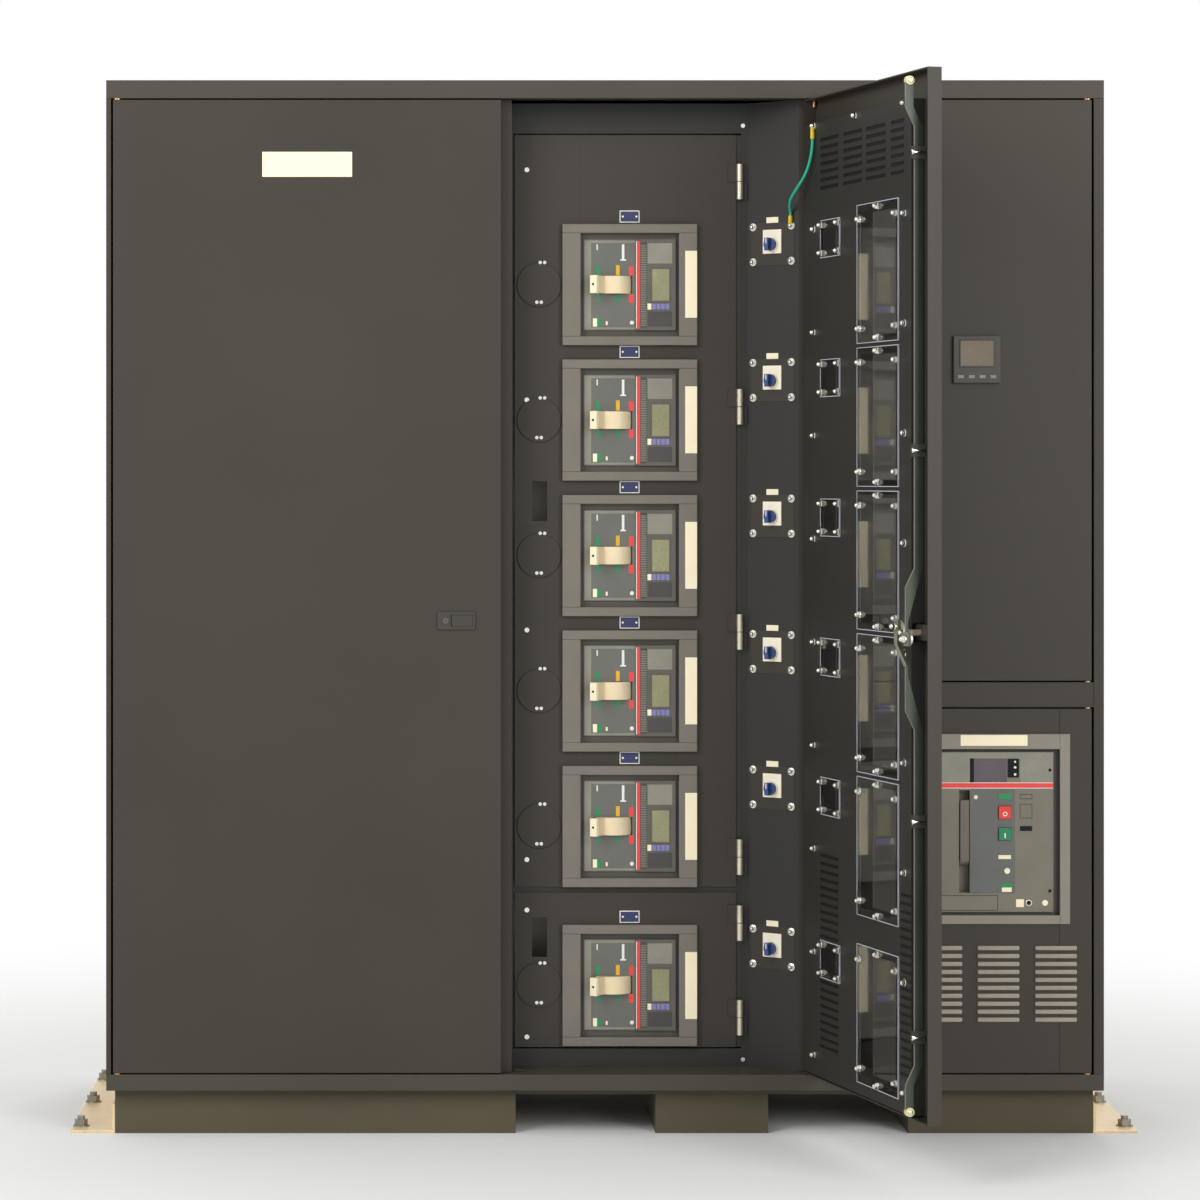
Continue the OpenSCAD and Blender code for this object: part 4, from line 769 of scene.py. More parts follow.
def new_tree(name, *inputs):
    """An empty geometry tree that takes points and the named sizes, and sets a finish."""
    tree = bpy.data.node_groups.new(name, "GeometryNodeTree")
    tree.interface.new_socket("Points", in_out="INPUT", socket_type="NodeSocketGeometry")
    for label in inputs:
        tree.interface.new_socket(label, in_out="INPUT", socket_type="NodeSocketFloat")
    tree.interface.new_socket("Finish", in_out="INPUT", socket_type="NodeSocketMaterial")
    tree.interface.new_socket("Geometry", in_out="OUTPUT", socket_type="NodeSocketGeometry")
    tree.nodes.new("NodeGroupInput")
    tree.nodes.new("NodeGroupOutput")
    return tree


def size_of(tree, label):
    """One of the tree's named inputs."""
    return tree.nodes["Group Input"].outputs[label]


def cylinder(tree, radius, depth, base, sides):
    """A cylinder that stands on base, as an output of the tree."""
    drum = tree.nodes.new("GeometryNodeMeshCylinder")
    drum.inputs["Vertices"].default_value = sides
    link(tree, radius, drum.inputs["Radius"])
    link(tree, depth, drum.inputs["Depth"])
    return lifted(tree, drum.outputs["Mesh"], arithmetic(tree, "MULTIPLY_ADD", depth, 0.5, base))


def lifted(tree, geometry, height):
    """A shape moved up by a height."""
    move = tree.nodes.new("GeometryNodeTransform")
    offset = tree.nodes.new("ShaderNodeCombineXYZ")
    link(tree, height, offset.inputs["Z"])
    link(tree, geometry, move.inputs["Geometry"])
    link(tree, offset.outputs["Vector"], move.inputs["Translation"])
    return move.outputs["Geometry"]


def dome(tree, radius, base):
    """A ball whose middle is at base, for the crown of a nut."""
    ball = tree.nodes.new("GeometryNodeMeshUVSphere")
    ball.inputs["Segments"].default_value = DOME_SEGMENTS
    ball.inputs["Rings"].default_value = DOME_RINGS
    link(tree, radius, ball.inputs["Radius"])
    return lifted(tree, ball.outputs["Mesh"], base)


def share(tree, size, factor):
    """A size times a factor."""
    return arithmetic(tree, "MULTIPLY", size, factor)


def set_on_points(tree, *shapes):
    """Joins the shapes, sets them on the points along their direction and gives the finish."""
    join = tree.nodes.new("GeometryNodeJoinGeometry")
    for shape in shapes:
        link(tree, shape, join.inputs["Geometry"])
    out = tree.nodes.new("GeometryNodeInputNamedAttribute")
    out.data_type = "FLOAT_VECTOR"
    out.inputs["Name"].default_value = "out"
    turn = tree.nodes.new("FunctionNodeAlignRotationToVector")
    turn.axis = "Z"
    copies = tree.nodes.new("GeometryNodeInstanceOnPoints")
    real = tree.nodes.new("GeometryNodeRealizeInstances")
    coat = tree.nodes.new("GeometryNodeSetMaterial")
    link(tree, out.outputs["Attribute"], turn.inputs["Vector"])
    link(tree, size_of(tree, "Points"), copies.inputs["Points"])
    link(tree, join.outputs["Geometry"], copies.inputs["Instance"])
    link(tree, turn.outputs["Rotation"], copies.inputs["Rotation"])
    link(tree, copies.outputs["Instances"], real.inputs["Geometry"])
    link(tree, real.outputs["Geometry"], coat.inputs["Geometry"])
    link(tree, size_of(tree, "Finish"), coat.inputs["Material"])
    link(tree, coat.outputs["Geometry"], tree.nodes["Group Output"].inputs["Geometry"])
    return tree


print("tools for the trees ready")

# %% From a tree to a plain mesh
def grown(name, tree, spots, body, slot, coat, place=Matrix(), **sizes):
    """Runs a tree on spots, which are (place, direction) pairs, and hangs the plain mesh on a body."""
    carrier_mesh = bpy.data.meshes.new(f"{name}_points")
    carrier_mesh.from_pydata([at for at, _ in spots], [], [])
    out = carrier_mesh.attributes.new("out", "FLOAT_VECTOR", "POINT")
    for value, (_, direction) in zip(out.data, spots):
        value.vector = direction
    carrier = bpy.data.objects.new(f"{name}_points", carrier_mesh)
    scene.collection.objects.link(carrier)
    modifier = carrier.modifiers.new("tree", "NODES")
    modifier.node_group = tree
    sockets = {s.name: s.identifier for s in tree.interface.items_tree if s.in_out == "INPUT"}
    modifier[sockets["Finish"]] = coat
    for label, value in sizes.items():
        modifier[sockets[label.replace("_", " ").capitalize()]] = float(value)
    ready = carrier.evaluated_get(bpy.context.evaluated_depsgraph_get())
    bm = bmesh.new()
    bm.from_mesh(bpy.data.meshes.new_from_object(ready))
    bm.transform(place)
    for face in bm.faces:
        face.material_index = 0
    bpy.data.objects.remove(carrier)
    print(name, len(spots))
    return hang(name, bm, body, slot, coat)

# %% [markdown]
# ## Three kinds of fastener
# The nuts on the doors are closed dome nuts on a washer, the screws have a round head with a lower rim,
# and an anchor is a stud with a nut and a wide washer. Their parts are shares of one radius, as on real
# fasteners, so that one input sizes each of them.

# %% Trees
def dome_nut_tree():
    """A washer, a hexagon and a dome."""
    tree = new_tree("dome_nut", "Radius")
    radius = size_of(tree, "Radius")
    thin = share(tree, radius, 0.25)
    washer = cylinder(tree, share(tree, radius, 1.25), thin, base=0.0, sides=20)
    hexagon = cylinder(tree, radius, share(tree, radius, 0.75), base=thin, sides=6)
    cap = dome(tree, share(tree, radius, 0.78), base=radius)
    return set_on_points(tree, washer, hexagon, cap)


def pan_screw_tree():
    """A low rim with a narrower crown."""
    tree = new_tree("pan_screw", "Radius")
    radius = size_of(tree, "Radius")
    rim = cylinder(tree, radius, share(tree, radius, 0.35), base=0.0, sides=20)
    crown = cylinder(tree, share(tree, radius, 0.8), share(tree, radius, 0.5), base=0.0, sides=20)
    return set_on_points(tree, rim, crown)


def anchor_tree():
    """A wide washer, a hexagon and the stud's end above it; the radius is the stud's hole."""
    tree = new_tree("anchor_bolt", "Radius")
    radius = size_of(tree, "Radius")
    thin = share(tree, radius, 0.3)
    washer = cylinder(tree, share(tree, radius, 1.9), thin, base=0.0, sides=24)
    hexagon = cylinder(tree, share(tree, radius, 1.5), share(tree, radius, 1.3), base=thin, sides=6)
    stud = cylinder(tree, share(tree, radius, 0.85), share(tree, radius, 2.4), base=0.0, sides=18)
    return set_on_points(tree, washer, hexagon, stud)


DOME_NUT = dome_nut_tree()
PAN_SCREW = pan_screw_tree()
ANCHOR = anchor_tree()
print("trees", [t.name for t in (DOME_NUT, PAN_SCREW, ANCHOR)])

# %% [markdown]
# ## Nuts, screws and anchors
# On the open door the nuts stand in rows along the liner and around each pane. Their places are given on
# the closed door, as a distance from the hinge and a height, and are then turned to the open door. Places
# on the open door could be read off as well, but they would be slanted numbers that nobody can check.

# %% Door nuts
NUT = 6.4
LINER_Y = -351
LINER_NUTS_OUT = (58, 530)
LINER_NUT_MIDDLE = 280
LINER_NUT_TOP = 2052
LINER_NUT_STEP = 208.5
LINER_NUT_ROWS = 10
PANE_Y = -348
LARGE_OUT = 397
SMALL_OUT = 148
SMALL_RISE = 81
LARGE_NUTS = [(x, z * side) for side in (1, -1) for x, z in ((2, 127), (-90, 107), (94, 107))]
SMALL_NUTS = [(x, z) for x in (-45, 45) for z in (-28, 28)]


def on_door(out, y, z):
    """A place on the closed centre door, from its distance to the hinge."""
    return Vector((hinge.x - out, y, z))


liner_spots = [on_door(out, LINER_Y, LINER_NUT_TOP - k * LINER_NUT_STEP)
               for out in LINER_NUTS_OUT for k in range(LINER_NUT_ROWS)]
liner_spots.append(on_door(LINER_NUT_MIDDLE, LINER_Y, LINER_NUT_TOP))
pane_spots = [on_door(LARGE_OUT + x, PANE_Y, breaker_z[i] + z) for i in BREAKERS for x, z in LARGE_NUTS]
pane_spots += [on_door(SMALL_OUT + x, PANE_Y, breaker_z[i] + SMALL_RISE + z)
               for i in BREAKERS for x, z in SMALL_NUTS]
door_spots = [(at, INSIDE) for at in liner_spots + pane_spots]
grown("door_nuts", DOME_NUT, door_spots, "centre_door", "zinc", bright_nut, door_turn, radius=NUT)

# %% Selector nuts
SELECTOR_NUTS = [(x, z) for x in (-46, 46) for z in (37, -35)]
splay_along = Vector((-knob_axis.y, knob_axis.x, 0))
selector_at = {i: Vector(joints[f"selector_{i}_turn"]["pos_m"]) / MM for i in BREAKERS}
spots = [(selector_at[i] + x * splay_along + z * UP, knob_axis) for i in BREAKERS for x, z in SELECTOR_NUTS]
grown("selector_nuts", DOME_NUT, spots, "cabinet", "zinc", bright_nut, radius=NUT)

# %% Inner door fasteners and dead front screws
DEAD_FRONT = -276
FASTENER = 5
FASTENER_X = -156
FASTENERS_Z = {"inner_upper": (1977, 1502, 1027, 553), "inner_lower": (449, 187)}
for body, heights in FASTENERS_Z.items():
    spots = [(Vector((FASTENER_X, DEAD_FRONT, z)), FRONT) for z in heights]
    grown(f"{body}_fasteners", PAN_SCREW, spots, body, "zinc", bright_nut, radius=FASTENER)

FRAME_SCREW = 4.4
FRAME_SCREWS = ((290, 2068), (290, 140))
spots = [(Vector((x, DEAD_FRONT, z)), FRONT) for x, z in FRAME_SCREWS]
grown("dead_front_screws", PAN_SCREW, spots, "cabinet", "zinc", bright_nut, radius=FRAME_SCREW)

# %% Rear cover and control unit screws
COVER_SCREW = 6
COVER_IN = 14
COVER_ROWS = 9
rear_lo, rear_hi = corners("rear_covers")
row_step = (rear_hi.z - rear_lo.z - 2 * COVER_IN) / (COVER_ROWS - 1)
rear_rows = [rear_lo.z + COVER_IN + k * row_step for k in range(COVER_ROWS)]
spots = [(Vector((x, rear_hi.y, z)), INSIDE)
         for x in (rear_lo.x + COVER_IN, rear_hi.x - COVER_IN) for z in rear_rows]
grown("rear_cover_screws", PAN_SCREW, spots, "cabinet", "zinc", zinc, radius=COVER_SCREW)

UNIT_SCREW = 5
UNIT_IN = 16
unit_lo, unit_hi = corners("control_unit")
spots = [(Vector((x, unit_lo.y, z)), FRONT) for x in (unit_lo.x + UNIT_IN, unit_hi.x - UNIT_IN)
         for z in (unit_lo.z + UNIT_IN, unit_hi.z - UNIT_IN)]
grown("control_unit_screws", PAN_SCREW, spots, "cabinet", "zinc", zinc, radius=UNIT_SCREW)

# %% Floor anchors
ANCHOR_HOLE = 9
ANCHOR_X = 1075
ANCHOR_Y = (-290, 0, 290)
FLOOR_PLATE_TOP = 6
spots = [(Vector((side * ANCHOR_X, y, FLOOR_PLATE_TOP)), UP) for side in (-1, 1) for y in ANCHOR_Y]
grown("anchor_bolts", ANCHOR, spots, "cabinet", "zinc", zinc, radius=ANCHOR_HOLE)

# %% Port cover screws
PORT_SCREW = 3.6
PORT_X = -131
PORT_Y = -279
PORT_RISE = 5
PORT_PAIRS = [(7, 41), (0, -41)]
PAIR_HALF = 4.6
for body, members in INNER_DOORS.items():
    spots = [(Vector((PORT_X + x + side * PAIR_HALF, PORT_Y, breaker_z[i] + PORT_RISE + z)), FRONT)
             for i in members for x, z in PORT_PAIRS for side in (-1, 1)]
    grown(f"{body}_port_screws", PAN_SCREW, spots, body, "zinc", bright_nut, radius=PORT_SCREW)

# %% [markdown]
# ## Louvres
# A louvre is a slit with the sheet pressed out over it. Seen from outside it is a row of hoods, from
# inside a row of dark slits with a lip under each. Holes could be cut through the sheet, but each cut
# would also need a clean edge, so a dark field of painted shade stands for each slit. One tree sets a
# ready-made hood, slit or lip on the points of a bank.

# %% Louvre tools
LOUVRE_STEP = 16.2


def stamped_tree(name, shape):
    """A tree that sets one ready-made shape on each point."""
    tree = new_tree(name)
    source = tree.nodes.new("GeometryNodeObjectInfo")
    source.inputs["Object"].default_value = shape
    return set_on_points(tree, source.outputs["Geometry"])


def template(name, lo, hi, edge):
    """A hidden block that a tree copies, with Z away from the sheet."""
    bm = bmesh.new()
    block(bm, lo, hi, edge)
    mesh = bpy.data.meshes.new(name)
    bm.to_mesh(mesh)
    bm.free()
    return bpy.data.objects.new(name, mesh)


def rows(first, count, way=-1):
    """Heights of a bank's louvres, down from the first or up from it."""
    return [first + way * k * LOUVRE_STEP for k in range(count)]


def bank(columns, heights):
    """The middles of a bank of louvres, from its columns' middles and its rows' heights."""
    return [(x, z) for x in columns for z in heights]


print("louvres every", LOUVRE_STEP, "mm")

# %% Louvre shapes
HOOD_HALF = 4.7
HOOD_PROUD = 5
HOOD_SUNK = 1
HOOD_ROUND = 3.4
SLIT_HALF = 3.4
SLIT_PROUD = 0.4
SLIT_SUNK = 0.5
LIP_HALF = 5
LIP_PROUD = 1.6
LIP_PAST = 1
LIP_ROUND = 0.5


def hood(width):
    """The sheet pressed out over a slit, seen from outside."""
    lo = (-width / 2, -HOOD_HALF, -HOOD_SUNK)
    hi = (width / 2, HOOD_HALF, HOOD_PROUD)
    return template(f"hood_{width}", lo, hi, HOOD_ROUND)


def slit(width):
    """A dark field of painted shade for the opening, seen from inside."""
    lo = (-width / 2, -SLIT_HALF, -SLIT_SUNK)
    hi = (width / 2, SLIT_HALF, SLIT_PROUD)
    return template(f"slit_{width}", lo, hi, 0)


def lip(width):
    """The sheet's edge under a slit."""
    lo = (-width / 2 - LIP_PAST, -LIP_HALF, -SLIT_SUNK)
    hi = (width / 2 + LIP_PAST, -SLIT_HALF, LIP_PROUD)
    return template(f"lip_{width}", lo, hi, LIP_ROUND)


print("hoods stand", HOOD_PROUD, "mm proud")

# %% Louvres on the doors
DOOR_FACE = -381
top_rows = rows(1924, 7, way=1)
side_rows = rows(583, 11) + rows(329, 9)
DOOR_BANKS = {
    "wide": (96, bank((139, 263, 383), top_rows) + bank((139,), side_rows)),
    "middle": (64, bank((492,), top_rows)),
    "narrow": (50, bank((533,), rows(550, 22))),
}
for label, (width, places) in DOOR_BANKS.items():
    inside = [(on_door(out, LINER_Y, z), INSIDE) for out, z in places]
    outside = [(on_door(out, DOOR_FACE, z), FRONT) for out, z in places]
    kinds = {
        # The slits are gap_black, painted shade where the openings are.
        "slits": (slit, inside, gap_black),
        "lips": (lip, inside, cabinet_paint),
        "hoods": (hood, outside, cabinet_paint),
    }
    for kind, (shape, spots, coat) in kinds.items():
        tree = stamped_tree(f"{label}_{kind}", shape(width))
        grown(f"centre_door_{label}_{kind}", tree, spots, "centre_door", "cabinet_paint", coat, door_turn)

LOWER_RIGHT_WIDTH = 86
low_right = bank((684, 800.5, 917.5), rows(384, 10))
spots = [(Vector((x, DOOR_FACE, z)), FRONT) for x, z in low_right]
# The lower right door's hoods take the lighter paint, painted light from above, not a paint of their own.
tree = stamped_tree("lower_right_hoods", hood(LOWER_RIGHT_WIDTH))
grown("lower_right_hoods", tree, spots, "lower_right_door", "cabinet_paint", hood_painted_highlight)

# %% [markdown]
# ## Clear panes
# The cut edge of a clear sheet gathers light and shows as a bright line. Clear material with many bounces
# of light could show that by itself, but slowly and with noise, so a thin pale strip runs around each
# pane.

# %% Pane edges
LARGE_HALF = (105, 136)
SMALL_HALF = (52, 38)
EDGE_STRIP = 1.6
EDGE_BEHIND = 2.8
EDGE_PROUD = 0.3
EDGE_ROUND = 0.3
PANES = ((LARGE_OUT, 0, LARGE_HALF), (SMALL_OUT, SMALL_RISE, SMALL_HALF))
bm = bmesh.new()
for i in BREAKERS:
    for out, rise, (half_w, half_h) in PANES:
        lo = on_door(out + half_w, PANE_Y - EDGE_BEHIND, breaker_z[i] + rise - half_h)
        hi = on_door(out - half_w, PANE_Y + EDGE_PROUD, breaker_z[i] + rise + half_h)
        ring_frame(bm, lo, hi, EDGE_STRIP, EDGE_ROUND)
bm.transform(door_turn)
hang("pane_edges", bm, "centre_door", "clear_pane", pane_edge)
print("pane edges", len(BREAKERS) * len(PANES))

# %% [markdown]
# ## Breaker fronts
# The six breakers are alike, so one drawing in offsets from the breaker's middle serves them all. It
# lists flat marks on the face and on the trip unit, as left, right, bottom, top and a finish. Colour
# fields could be painted by the shader, but thin blocks keep a crisp edge from near and also come out in
# the meshes.

# %% Breaker marks
FACE_Y = -272.5
TRIP_Y = -276.5
FACE_COATS = [mark_white, mark_green, mark_yellow, stripe_red, label_cream, rim_clear, shade_grey]
WHITE, GREEN, YELLOW, RED, CREAM, RIM, DARK = range(len(FACE_COATS))
FACE_MARKS = [
    (-93, -79, -92, 92, RIM), (-79, 11, 86.5, 92, RIM), (-79, 11, -92, -87.5, RIM),
    (-69, -61, 20, 39, GREEN), (-28, -20, 20, 41, YELLOW), (-1, 9, 20, 39, RED),
    (-67, -61, -37, -19.5, GREEN), (-28, -20, -30, -19.5, GREEN), (-26, -22, -38, -30, GREEN),
    (-1, 9, -37, -19.5, RED), (-15.7, -10.5, 53, 84, WHITE), (-19, -7, 50, 53, WHITE),
    (-68, -65.5, 72, 84, WHITE), (-75.5, -67, -86, -69, CREAM), (-67, -59, -86, -69, GREEN),
    (-49, -45, -83, -75, CREAM),
]
TRIP_MARKS = [
    (13.6, 15, -90, 90, WHITE), (15, 21.5, -90, 90, RED), (37, 45, -51, -38.5, CREAM),
    (22.5, 35.5, -88, 88, DARK), (38, 88, -86, -55, DARK), (37, 88, 44, 86, RIM),
]
MARK_PROUD = 0.5
MARK_ROUND = 0.15
SUNK = 0.1
FACE_SCREW_AT = (5, -78)
FACE_SCREW = [(4.2, -0.1), (4.2, 0.6), (3.6, 0.9)]

face_marks = bmesh.new()
for i in BREAKERS:
    for marks, y in ((FACE_MARKS, FACE_Y), (TRIP_MARKS, TRIP_Y)):
        for left, right, bottom, top, coat in marks:
            lo = (breaker_x + left, y - MARK_PROUD, breaker_z[i] + bottom)
            hi = (breaker_x + right, y + SUNK, breaker_z[i] + top)
            block(face_marks, lo, hi, MARK_ROUND, coat)
    screw_x, screw_z = FACE_SCREW_AT
    turned(face_marks, (breaker_x + screw_x, FACE_Y, breaker_z[i] + screw_z), FRONT, FACE_SCREW, WHITE)
hang("breaker_marks", face_marks, "cabinet", "legend_white", *FACE_COATS)
print("marks on each breaker", len(FACE_MARKS) + len(TRIP_MARKS))

# %% Trip unit screens and keys
SCREEN_X = (43, 85)
SCREEN_HALF = 36
SCREEN_RIM = 3.4
RIM_PROUD = 1.2
GLASS_PROUD = 0.4
KEYS = 4
KEYS_LEFT = 46.5
KEY_STEP = 9.2
KEY_WIDE = 8.2
KEY_Z = (-51, -38.6)
KEY_PROUD = 1.4
SOFT_EDGE = 0.5
GLASS, FRAME, KEY = range(3)
trip_parts = bmesh.new()
for i in BREAKERS:
    left, right = (breaker_x + x for x in SCREEN_X)
    bottom, top = breaker_z[i] - SCREEN_HALF, breaker_z[i] + SCREEN_HALF
    ring_frame(trip_parts, (left, TRIP_Y - RIM_PROUD, bottom), (right, TRIP_Y + SUNK, top), SCREEN_RIM,
               SOFT_EDGE, FRAME)
    block(trip_parts, (left + SCREEN_RIM, TRIP_Y - GLASS_PROUD, bottom + SCREEN_RIM),
          (right - SCREEN_RIM, TRIP_Y + SUNK, top - SCREEN_RIM), 0, GLASS)
    for k in range(KEYS):
        left = breaker_x + KEYS_LEFT + KEY_STEP * k
        bottom, top = (breaker_z[i] + z for z in KEY_Z)
        block(trip_parts, (left, TRIP_Y - KEY_PROUD, bottom), (left + KEY_WIDE, TRIP_Y + SUNK, top),
              SOFT_EDGE, KEY)
hang("trip_screens", trip_parts, "cabinet", "breaker_black", screen_olive, trip_grey, key_lavender)
print("screens", len(BREAKERS), "keys", len(BREAKERS) * KEYS)

# %% Trip unit ribs
RIB_X = 29
RIB_FOOT = -84
RIB_STEP = 3.6
RIBS = 47
RIB_LO = (-6, -0.9, -0.2)
RIB_HI = (6, 0.9, 1.1)
RIB_ROUND = 0.3
RIB = template("rib", RIB_LO, RIB_HI, RIB_ROUND)
spots = [(Vector((breaker_x + RIB_X, TRIP_Y - MARK_PROUD, breaker_z[i] + RIB_FOOT + k * RIB_STEP)), FRONT)
         for i in BREAKERS for k in range(RIBS)]
grown("trip_ribs", stamped_tree("trip_ribs", RIB), spots, "cabinet", "breaker_black", rim_clear)

# %% [markdown]
# ## Collars and toggles
# A grey collar fills the space between a breaker and the bezel in the inner door. The toggle's end is a
# paler cap with a small hole. The cap could be a second finish on the toggle's end faces, but it stands
# proud of them, so it is a block of its own, which leans as the toggle does at rest and rides on it.

# %% Collars around the breakers
COLLAR_OUTER = (114, 113)
COLLAR_WIDTH = 18.6
COLLAR_Y = (-269, -267)
COLLAR_ROUND = 0.2
collars = bmesh.new()
for i in BREAKERS:
    lo = (breaker_x - COLLAR_OUTER[0], COLLAR_Y[0], breaker_z[i] - COLLAR_OUTER[1])
    hi = (breaker_x + COLLAR_OUTER[0], COLLAR_Y[1], breaker_z[i] + COLLAR_OUTER[1])
    ring_frame(collars, lo, hi, COLLAR_WIDTH, COLLAR_ROUND)
hang("breaker_collars", collars, "cabinet", "breaker_black", collar_grey)
print("collars", len(BREAKERS))

# %% Toggle caps
TOGGLE_LEAN = math.radians(35)
ARM_HALF = (7.5, 18)
ARM_REACH = 74
CAP_OVER = 0.6
CAP_PAST = 0.8
CAP_DEEP = 9
CAP_ROUND = 1.2
HOLE_PAST = 0.9
HOLE = [(2.6, -0.3), (2.6, 0.15)]
cap_x, cap_z = (half + CAP_OVER for half in ARM_HALF)
for i in BREAKERS:
    pivot = Vector(joints[f"toggle_{i}_throw"]["pos_m"]) / MM
    lean = Matrix.Translation((pivot.x, pivot.y, breaker_z[i])) @ Matrix.Rotation(-TOGGLE_LEAN, 4, "Z")
    bm = bmesh.new()
    block(bm, (-cap_x, -ARM_REACH - CAP_PAST, -cap_z), (cap_x, -ARM_REACH + CAP_DEEP, cap_z), CAP_ROUND,
          place=lean)
    # The hole in the cap is a dark disc of painted shade, not cut.
    turned(bm, lean @ Vector((0, -ARM_REACH - HOLE_PAST, 0)), lean.to_3x3() @ FRONT, HOLE, 1)
    hang(f"toggle_cap_{i}", bm, f"toggle_{i}", "toggle_cream", label_cream, gap_black)
print("toggle caps", len(BREAKERS))

# %% [markdown]
# ## Labels and tags on the inner doors
# Beside each breaker the bezel carries a paper label, and above it sits a dark tag with a pale border,
# held by two rivets. They could be flat planes, but a plane has no edge to throw a shadow, so both are
# thin blocks. They ride on the inner door and swing away with it.

# %% Bezel labels and name tags
BEZEL_Y = -288
PAPER = (114, 138.4, -68.4, 69.6)
PAPER_PROUD = 0.4
PAPER_ROUND = 0.1
TAG_HALF = (20.5, 12.4)
TAG_RISE = 141
TAG_RIM = 1.8
TAG_PROUD = 0.9
FIELD_PROUD = 1.1
TAG_ROUND = 0.2
RIVET_SIDE = 14
RIVET = [(2.2, -0.2), (2.2, 0.5), (1.4, 0.9)]
CARD, BORDER, FIELD = range(3)
for body, members in INNER_DOORS.items():
    bm = bmesh.new()
    for i in members:
        left, right, bottom, top = PAPER
        block(bm, (breaker_x + left, BEZEL_Y - PAPER_PROUD, breaker_z[i] + bottom),
              (breaker_x + right, BEZEL_Y + SUNK, breaker_z[i] + top), PAPER_ROUND, CARD)
        tag = Vector((breaker_x, DEAD_FRONT, breaker_z[i] + TAG_RISE))
        wide, high = TAG_HALF
        lo, hi = Vector((-wide, -TAG_PROUD, -high)), Vector((wide, SUNK, high))
        block(bm, tag + lo, tag + hi, TAG_ROUND, BORDER)
        wide, high = wide - TAG_RIM, high - TAG_RIM
        lo, hi = Vector((-wide, -FIELD_PROUD, -high)), Vector((wide, 0, high))
        block(bm, tag + lo, tag + hi, TAG_ROUND, FIELD)
        for side in (-1, 1):
            turned(bm, tag + Vector((side * RIVET_SIDE, -FIELD_PROUD, 0)), FRONT, RIVET, BORDER, sides=12)
    hang(f"{body}_labels", bm, body, "legend_white", label_cream, mark_white, tag_navy)
print("labels and tags", len(BREAKERS))

# %% [markdown]
# ## Selectors
# Each selector sits on a painted backing plate, with a cream label over its legend plate and a white line
# on its knob. The strip behind them is splayed, and slanted places could be worked out for every corner.
# It is simpler to draw them flat in the selector's own axes, with Z out of the strip, and let one matrix
# set them there. The line is on the knob's body and turns with it.

# %% Selector dressing
BACKING = (104, 88)
BACKING_RISE = 1
BACKING_ROUND = 0.3
SELECTOR_LABEL = (28.5, 12.4)
SELECTOR_LABEL_RISE = 50
SELECTOR_LABEL_ROUND = 0.2
PLATE_SUNK = 0.5
PLATE_PROUD = 0.8
LABEL_COAT, BACKING_COAT = range(2)
SELECTOR_PLATES = [
    (BACKING, BACKING_RISE, BACKING_ROUND, BACKING_COAT),
    (SELECTOR_LABEL, SELECTOR_LABEL_RISE, SELECTOR_LABEL_ROUND, LABEL_COAT),
]
strip_axes = Matrix((splay_along, UP, knob_axis)).transposed().to_4x4()
splay_place = {i: Matrix.Translation(selector_at[i]) @ strip_axes for i in BREAKERS}
bm = bmesh.new()
for i in BREAKERS:
    for (wide, high), rise, edge, coat in SELECTOR_PLATES:
        block(bm, (-wide / 2, rise - high / 2, -PLATE_SUNK), (wide / 2, rise + high / 2, PLATE_PROUD), edge,
              coat, splay_place[i])
hang("selector_labels", bm, "cabinet", "legend_white", label_cream, inner_paint)

LINE_HALF = 1.1
LINE_ENDS = (1, 12)
LINE_SUNK = 0.2
LINE_PROUD = 0.4
LINE_ROUND = 0.2
for i in BREAKERS:
    knob = frame["nodes"][f"selector_knob_{i}"].data
    front = max((v.co / MM - selector_at[i]).dot(knob_axis) for v in knob.vertices)
    low, high = LINE_ENDS
    bm = bmesh.new()
    block(bm, (-LINE_HALF, low, front - LINE_SUNK), (LINE_HALF, high, front + LINE_PROUD), LINE_ROUND,
          place=splay_place[i])
    hang(f"knob_line_{i}", bm, f"selector_knob_{i}", "legend_white", mark_white)
print("selectors dressed", len(BREAKERS))

# %% [markdown]
# ## Latches and meter
# On the three closed doors a lock cylinder with a keyhole sits beside the latch's paddle. The meter has a
# screen behind a raised edge and a row of soft keys. They could be placed by numbers read off the
# photograph. They are turned shapes and blocks set on the solids' own front faces instead, so that they
# stay in place if a solid moves.

# %% Lock cylinders
LOCK_SIDE = 21.5
LOCK = [(6.4, -0.4), (6.4, 1.0), (5.6, 1.6), (4.4, 1.6), (4.4, 0.6)]
LOCK_SIDES = 28
KEYHOLE_LO = Vector((-0.7, -1, -2.6))
KEYHOLE_HI = Vector((0.7, -0.4, 2.6))
LOCKED_SIDE = {"left": -1, "upper_right": 1, "lower_right": 1}
for latch, side in LOCKED_SIDE.items():
    at = middle(f"{latch}_latch_case") + Vector((side * LOCK_SIDE, 0, 0))
    at.y = corners(f"{latch}_latch_case")[0].y
    bm = bmesh.new()
    turned(bm, at, FRONT, LOCK, 0, LOCK_SIDES)
    # The keyhole is a dark block of painted shade in place of the slot.
    block(bm, at + KEYHOLE_LO, at + KEYHOLE_HI, 0, 1)
    hang(f"{latch}_lock", bm, f"{latch}_door", "latch_black", dark_zinc, gap_black)
print("lock cylinders", len(LOCKED_SIDE))

